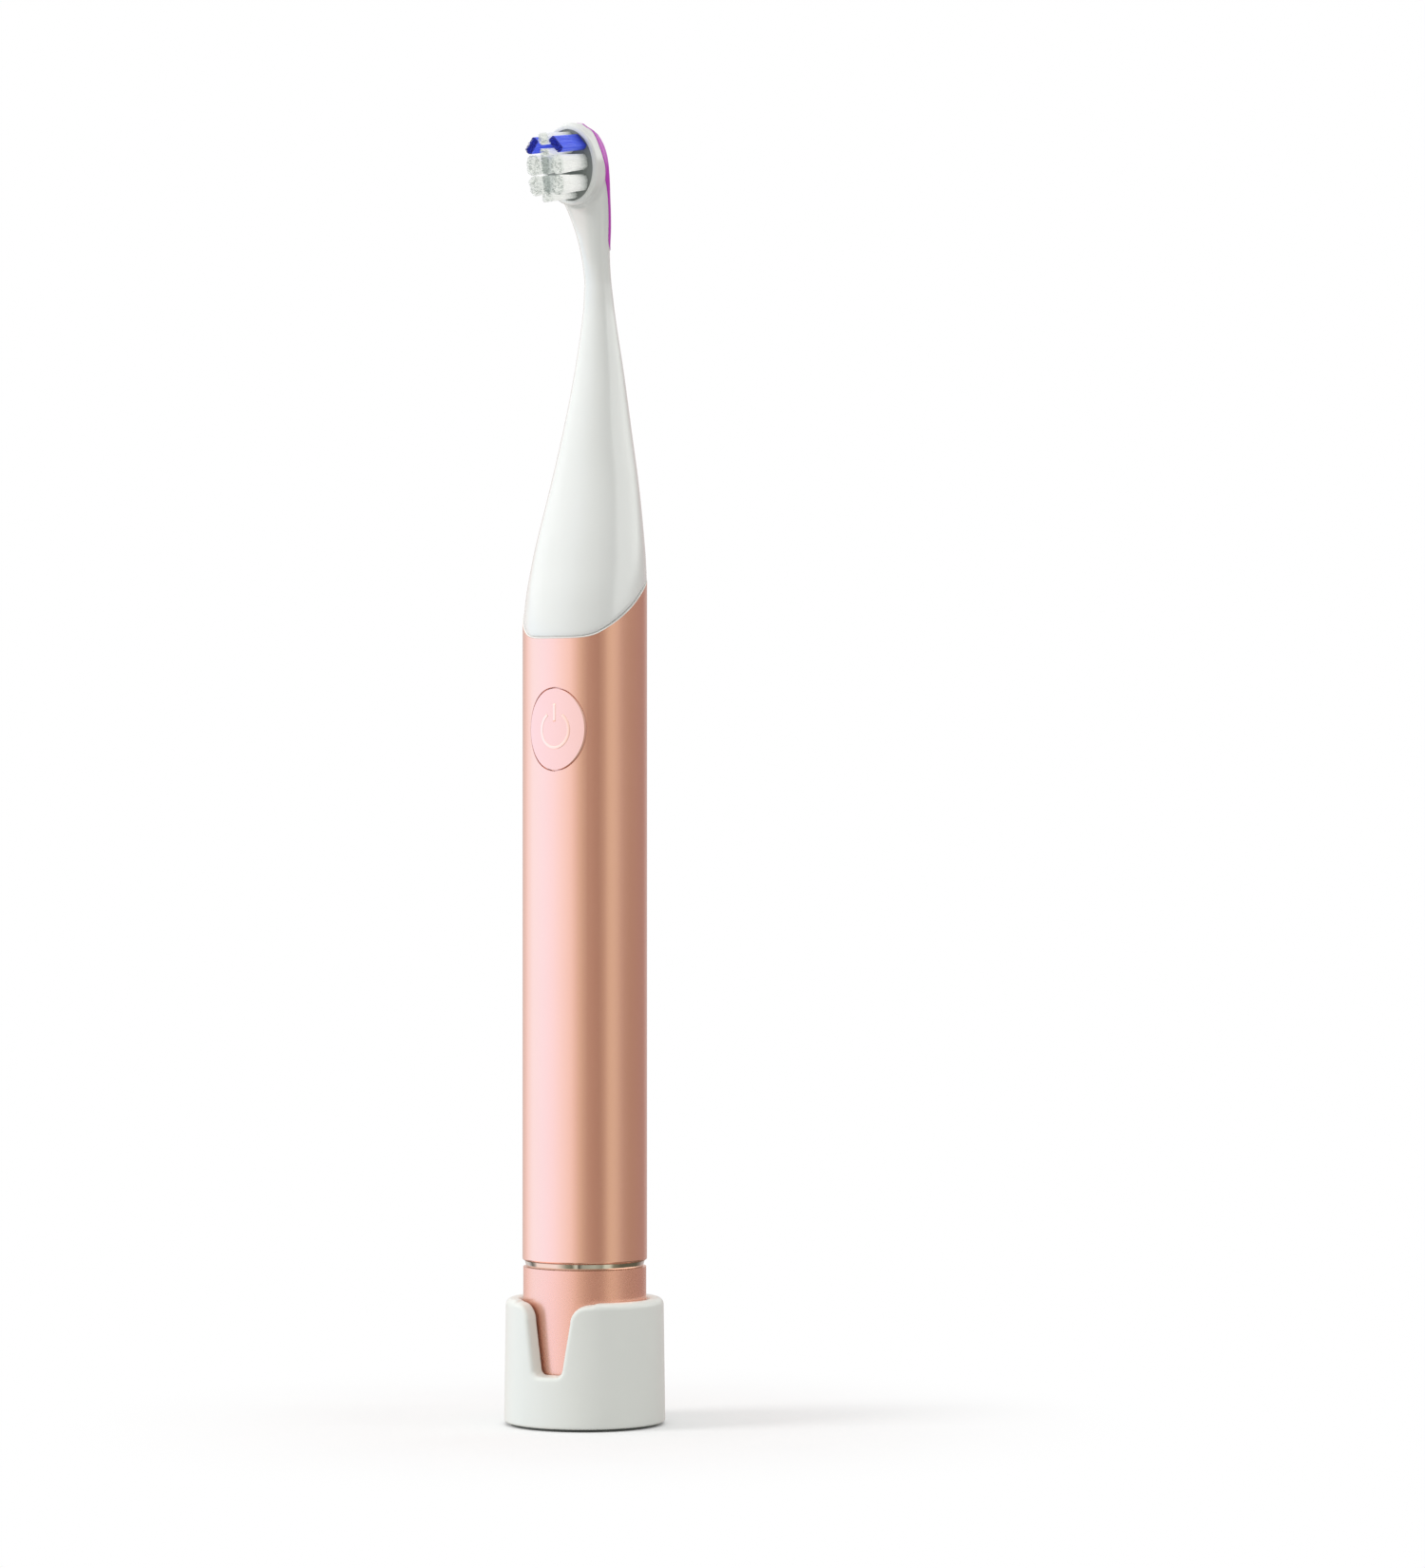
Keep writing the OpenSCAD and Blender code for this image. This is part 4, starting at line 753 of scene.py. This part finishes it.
def head_depth(points):
    """Depth of points outside the head's outer form, its neck run softly into its end."""
    x, y, z = points.T
    front, back, half = section_at(z)
    deep = (back - front) / 2
    neck = np.hypot(x / half, (y - (front + back) / 2) / deep) - 1
    neck = np.maximum(neck * np.minimum(half, deep), z - crown_z)
    up = (z - face_z) * math.cos(face_tilt) - (y - face_y) * math.sin(face_tilt)
    out = -(y - face_y) * math.cos(face_tilt) - (z - face_z) * math.sin(face_tilt)
    share = np.clip(-out / end_thick, 0, 0.7)
    size = glide(end_rings, 1, share)
    end = (np.hypot(x / end_half, up / end_tall) - size) * end_half
    end = np.maximum(end, -out - end_thick * 0.7)
    join = np.maximum(blend_reach - np.abs(neck - end), 0) / blend_reach
    return np.maximum(np.minimum(neck, end) - join * join * blend_reach / 4, out)


turns = np.arange(columns) * math.tau / columns
cosines, sines = np.cos(turns), np.sin(turns)


def foot_ring(inset, lift):
    """The ring where the head's wall, inset, meets the slanted joint, lifted."""
    z = np.full(columns, seam_z)
    for _ in range(30):
        front, back, half = section_at(z, inset)
        y = (front + back) / 2 + (back - front) / 2 * sines
        z = seam_z + seam_at(y) + seam_gap / 2 + lift
    front, back, half = section_at(z, inset)
    return np.stack([half * cosines, (front + back) / 2 + (back - front) / 2 * sines, z], 1)


def wall_ring(heights, inset):
    """A ring of the head's wall at a height for each column."""
    front, back, half = section_at(heights, inset)
    return np.stack([half * cosines, (front + back) / 2 + (back - front) / 2 * sines,
                     np.broadcast_to(heights, (columns,))], 1)


rings = []
# Hollow inside, from its top down to the joint
inner_foot = foot_ring(shell_wall, 0.12)
for share in np.linspace(0, 1, 5)[1:]:
    ring = wall_ring(hollow_top_z, shell_wall)
    middle = [0, ring[:, 1].mean(), 0]
    rings.append(middle + (ring - middle) * [share, share, 1])
for share in np.linspace(0, 1, 24)[1:-1]:
    rings.append(wall_ring(hollow_top_z + (inner_foot[:, 2] - hollow_top_z) * share, shell_wall))
rings += [inner_foot, foot_ring(shell_wall - 0.12, 0.0), foot_ring(0.16, 0.0),
          foot_ring(0.05, 0.05), foot_ring(0.0, 0.17)]
# Outside of foot and neck, up to where the bend starts
fan_y = face_y + (face_z - fan_z) * math.tan(face_tilt)
outer_foot = rings[-1]
for share in np.linspace(0, 1, 90)[1:-1]:
    rings.append(wall_ring(outer_foot[:, 2] + (fan_z - outer_foot[:, 2]) * share, 0.0))
# Bend and oval end: rings in planes that fan out round a point under the chin
sweep = np.concatenate([np.linspace(0, 88, 60), np.linspace(88, 96, 22)[1:],
                        np.linspace(96, 99, 16)[1:]])


def fan_ring(angle, turns):
    """The head's outer form, cut by one plane of the fan."""
    along = np.array([0, math.cos(angle), math.sin(angle)])
    pivot = np.array([0, fan_y, fan_z])
    reach = np.linspace(1, 30, 600)
    inside = reach[head_depth(pivot + reach[:, None] * along) < 0]
    centre = pivot + along * (inside[0] + inside[-1]) / 2
    ways = np.stack([np.cos(turns), np.zeros(len(turns)), np.zeros(len(turns))], 1)
    ways += np.sin(turns)[:, None] * along
    near, far = np.zeros(len(turns)), np.full(len(turns), 14.0)
    for _ in range(34):
        half_way = (near + far) / 2
        out = head_depth(centre + ways * half_way[:, None]) > 0
        near, far = np.where(out, near, half_way), np.where(out, half_way, far)
    return centre + ways * near[:, None]


def on_face(across, up, out):
    """A point given across the bristle face, up it, and out along the bristles."""
    return np.stack([
        across + 0 * up,
        face_y - up * math.sin(face_tilt) - out * math.cos(face_tilt),
        face_z + up * math.cos(face_tilt) - out * math.sin(face_tilt)], -1)


for angle in np.radians(sweep[1:]):
    rings.append(fan_ring(min(angle, last_turn), turns))
# Rim, and the pocket that the bristle plate sits in
for half, tall, out in (
    (end_half * 0.95 - 0.02, end_tall * 0.95 - 0.02, 0.0),
    (plate_half + 0.12, plate_tall + 0.12, 0.0), (plate_half + 0.03, plate_tall + 0.03, -0.04),
    (plate_half, plate_tall, -0.14), (plate_half, plate_tall, -plate_floor),
    (plate_half * 0.6, plate_tall * 0.6, -plate_floor),
    (plate_half * 0.2, plate_tall * 0.2, -plate_floor),
):
    rings.append(on_face(half * cosines, tall * sines, out))


def skin(name, rings, closed=True):
    """A piece lofted through rings of points in millimetres, ends closed."""
    count = len(rings[0])
    points = np.concatenate(rings + [rings[0].mean(0)[None], rings[-1].mean(0)[None]]) * mm
    faces = [(k * count + i, k * count + (i + 1) % count, (k + 1) * count + (i + 1) % count,
              (k + 1) * count + i)
             for k in range(len(rings) - 1) for i in range(count)]
    last, pole = (len(rings) - 1) * count, len(rings) * count
    faces += [((i + 1) % count, i, pole) for i in range(count)]
    faces += [(last + i, last + (i + 1) % count, pole + 1) for i in range(count)]
    mesh = bpy.data.meshes.new(name)
    mesh.from_pydata(points.tolist(), [], faces)
    work = bmesh.new()
    work.from_mesh(mesh)
    bmesh.ops.recalc_face_normals(work, faces=work.faces)
    work.to_mesh(mesh)
    work.free()
    mesh.polygons.foreach_set("use_smooth", [True] * len(mesh.polygons))
    mesh.set_sharp_from_angle(angle=math.radians(50))
    made = bpy.data.objects.new(name, mesh)
    bpy.context.scene.collection.objects.link(made)
    return made


head = skin("head", rings)
head_white = finish("head_white", "EEF0EC", 0.16, patch=0.008, shift=0.008, spread=0.03,
                    grain=0.0006, relief=0.000002, Coat_Weight=0.5, Coat_Roughness=0.08,
                    Subsurface_Weight=0.2, Subsurface_Radius=(1, 1, 0.95),
                    Subsurface_Scale=0.0015)
head.data.materials.append(head_white)
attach(head, "head")
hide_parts("head_shell")

# ---- Inside the head ----
# A ribbed sleeve, welded into the hollow foot, grips the shaft's flat, and a
# sprung steel clip squeezes it.
dress(finish("hub_plastic", "DDDFDA", 0.45, grain=0.0003, relief=0.00001), "head_hub")
dress(finish("spring_steel", "B9BBBD", 0.28, 1.0, grain=0.0002), "hub_clip")

# ---- Back pad ----
# A tongue scraper: soft magenta elastomer moulded over the head's back, from a
# point on the neck over the top, its edge standing a hair proud.
pad_start_z, pad_lift, pad_depth = neck_z + (face_z - neck_z) * 0.27, 0.12, 0.5
pad_edge = [
    (0, 0), (0.01, 0.16), (0.03, 0.32), (0.07, 0.42), (0.15, 0.47), (0.3, 0.51), (0.45, 0.57),
    (0.6, 0.65), (0.72, 0.74), (0.85, 0.81), (1, 0.84),
]


def pad_line(z):
    """How far back the pad's front edge lies at a height."""
    share = (z - pad_start_z) / (top_z + 1 - pad_start_z)
    above = z - face_z
    back = section_at(face_z + (above - np.sqrt(above * above + 9)) / 2)[1]
    return back + 0.3 - glide(pad_edge, 1, share) * end_thick * 1.1


half_turns = np.linspace(-math.pi / 2, math.pi / 2, 241)
share = np.sin(np.linspace(-math.pi / 2, math.pi / 2, 61))
rows = []
for angle in np.radians(np.linspace(0.6, 95, 91)):
    edge = fan_ring(angle, half_turns)
    bare = edge[:, 1] <= pad_line(edge[:, 2])
    if not bare[-1]:
        reach = math.pi / 2 - half_turns[len(bare) - np.argmax(bare[::-1]) - 1]
        row = fan_ring(angle, math.pi / 2 + share * reach)
        slope = slope_of(head_depth, row)
        slope /= np.linalg.norm(slope, axis=1)[:, None]
        rise = pad_lift - (pad_lift + pad_depth * 0.4) * np.abs(share) ** 160
        rows.append(np.concatenate([row + slope * rise[:, None],
                                    (row - slope * pad_depth)[-2:0:-1]]))
pad = skin("pad", rows)
pad_magenta = finish("pad_magenta", "C83AC6", 0.34, patch=0.003, shift=0.04, spread=0.05,
                     grain=0.0002, relief=0.000006, Coat_Weight=0.2, Coat_Roughness=0.25)
pad.data.materials.append(pad_magenta)
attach(pad, "head")
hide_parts("back_pad")

# ---- Bristle plate ----
# Grey moulded plate that the tufts are stapled into before it is pressed into
# the head's oval end.
dress(finish("plate_grey", "8C918E", 0.45, grain=0.0002, relief=0.00002), "bristle_plate")

# ---- Bristles ----
# End-rounded nylon filaments in eleven oval tufts: two leaning blue ones at
# the top, white ones round the edge, and clear ones down the middle.
bristle_reach, bristle_foot = 9.5, -0.35
filament_r, filament_pitch = 0.082, 0.185
tuft_groups = {
    "blue": [(2.6, 4.25, 1.6, 3.3, 38), (-2.6, 4.25, 1.6, 3.3, -38)],
    "white": [(0, 5.45, 2.1, 2, 0), (0, 2.85, 1.9, 1.3, 0), (2.6, 0.5, 2.7, 3.1, 0),
              (-2.6, 0.5, 2.7, 3.1, 0), (2.45, -3.45, 2.4, 3, -9), (-2.45, -3.45, 2.4, 3, 9),
              (0, -5.75, 2.3, 1.4, 0)],
    "clear": [(0, 0.4, 1.7, 2.8, 0), (0, -3.2, 1.6, 2.8, 0)],
}
nylon = {}
# For each kind of tuft: the colour of its sides, of its cut ends with painted shade, of its roots
# with painted shade, how much painted shade flecks its ends, and its glow of painted light
for name, side, tip, root_shade, end_shade_share, glow in (
    ("blue", "6078F4", "040660", "3848CC", 0.0, 0.2),
    ("white", "FCFCFA", "DDE1DD", "DCE0DC", 0.85, 0.2),
    ("clear", "E8ECEA", "BCC4BE", "C4CAC7", 0.9, 0.14),
):
    nylon[name] = bpy.data.materials.new("nylon_" + name)
    shader = Shader(nylon[name])
    x, y, z = shader.axes()
    out = ((y / mm - face_y) * -math.cos(face_tilt)) - ((z / mm - face_z) * math.sin(face_tilt))
    strand = shader.noise(0.0002, 1, (1, 0.03, 1))
    # Painted shade: the sides darken towards the roots by the plate, with streaks of that shade
    # along the filaments
    body = shader.blend(shader.step(out, 0, 3.0), linear(root_shade), linear(side))
    body = shader.blend((strand - 0.5) * 0.5 + 0.2, body, linear(root_shade))
    # Painted shade: the cut ends are darker than the sides, the blue ones nearly black and the
    # white and clear ones flecked with grey, for the shade between the filaments
    end_shade_speck = shader.step(shader.noise(0.0006, 3), 0.42, 0.62) * end_shade_share
    ends = shader.blend(end_shade_speck, linear(tip), linear("848E88"))
    tone = shader.blend(shader.step(out, bristle_reach - 0.45, bristle_reach - 0.1), body, ends)
    # The nylon glows a little: painted light standing in for light passing through the filaments
    shader.surface(tone, strand * 0.15 + 0.25, 0.0, strand, 0.00001,
                   Subsurface_Weight=0.3, Subsurface_Radius=(1, 1, 1), Subsurface_Scale=0.0012,
                   Emission_Color=tone, Emission_Strength=glow)

draw = random.Random(7)
facets = [(math.cos(a), math.sin(a)) for a in np.arange(6) * math.tau / 6]
levels = [(bristle_foot, 1.0), (bristle_reach * 0.5, 1.0), (bristle_reach - 0.1, 1.0),
          (bristle_reach - 0.03, 0.78), (bristle_reach, 0.3)]
for name, tufts in tuft_groups.items():
    points, faces = [], []
    spread = (0.04, 0.04) if name == "blue" else (0.08, 0.26)
    for across, up, wide, tall, turn in tufts:
        turn = math.radians(turn)
        corner = min(wide, tall) * 0.42
        for row in np.arange(-tall / 2, tall / 2, filament_pitch * 0.87):
            odd = int(round(row / (filament_pitch * 0.87))) % 2
            for column in np.arange(-wide / 2, wide / 2, filament_pitch):
                u = column + filament_pitch * (0.5 * odd + 0.25)
                off = np.hypot(max(abs(u) - wide / 2 + corner, 0),
                               max(abs(row) - tall / 2 + corner, 0))
                if off > corner - filament_r:
                    continue
                u, v = u * 1.05 + draw.gauss(0, 0.012), row * 1.05 + draw.gauss(0, 0.012)
                lean = (u * spread[0] + draw.gauss(0, 0.03), v * spread[1] + draw.gauss(0, 0.03))
                cut = draw.gauss(0, 0.05)
                start = len(points)
                for out, width in levels:
                    share = max(out / bristle_reach, 0) ** 1.5
                    lu, lv = u + lean[0] * share, v + lean[1] * share
                    cu = across + lu * math.cos(turn) - lv * math.sin(turn)
                    cv = up + lu * math.sin(turn) + lv * math.cos(turn)
                    height = out + (cut - 0.05 if out > 1 else 0)
                    for fx, fy in facets:
                        points.append((cu + fx * filament_r * width, cv + fy * filament_r * width,
                                       height))
                for k in range(len(levels) - 1):
                    for i in range(6):
                        a, b = start + k * 6 + i, start + k * 6 + (i + 1) % 6
                        faces.append((a, b, b + 6, a + 6))
                faces.append(tuple(range(start + 5, start - 1, -1)))
                faces.append(tuple(range(len(points) - 6, len(points))))
    points = np.array(points)
    mesh = bpy.data.meshes.new("tufts_" + name)
    mesh.from_pydata((on_face(*points.T) * mm).tolist(), [], faces)
    mesh.polygons.foreach_set("use_smooth", [True] * len(mesh.polygons))
    mesh.materials.append(nylon[name])
    tuft = bpy.data.objects.new("bristles_" + name, mesh)
    bpy.context.scene.collection.objects.link(tuft)
    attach(tuft, "head")
    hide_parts("tufts_" + name)
    "bristle_" + name
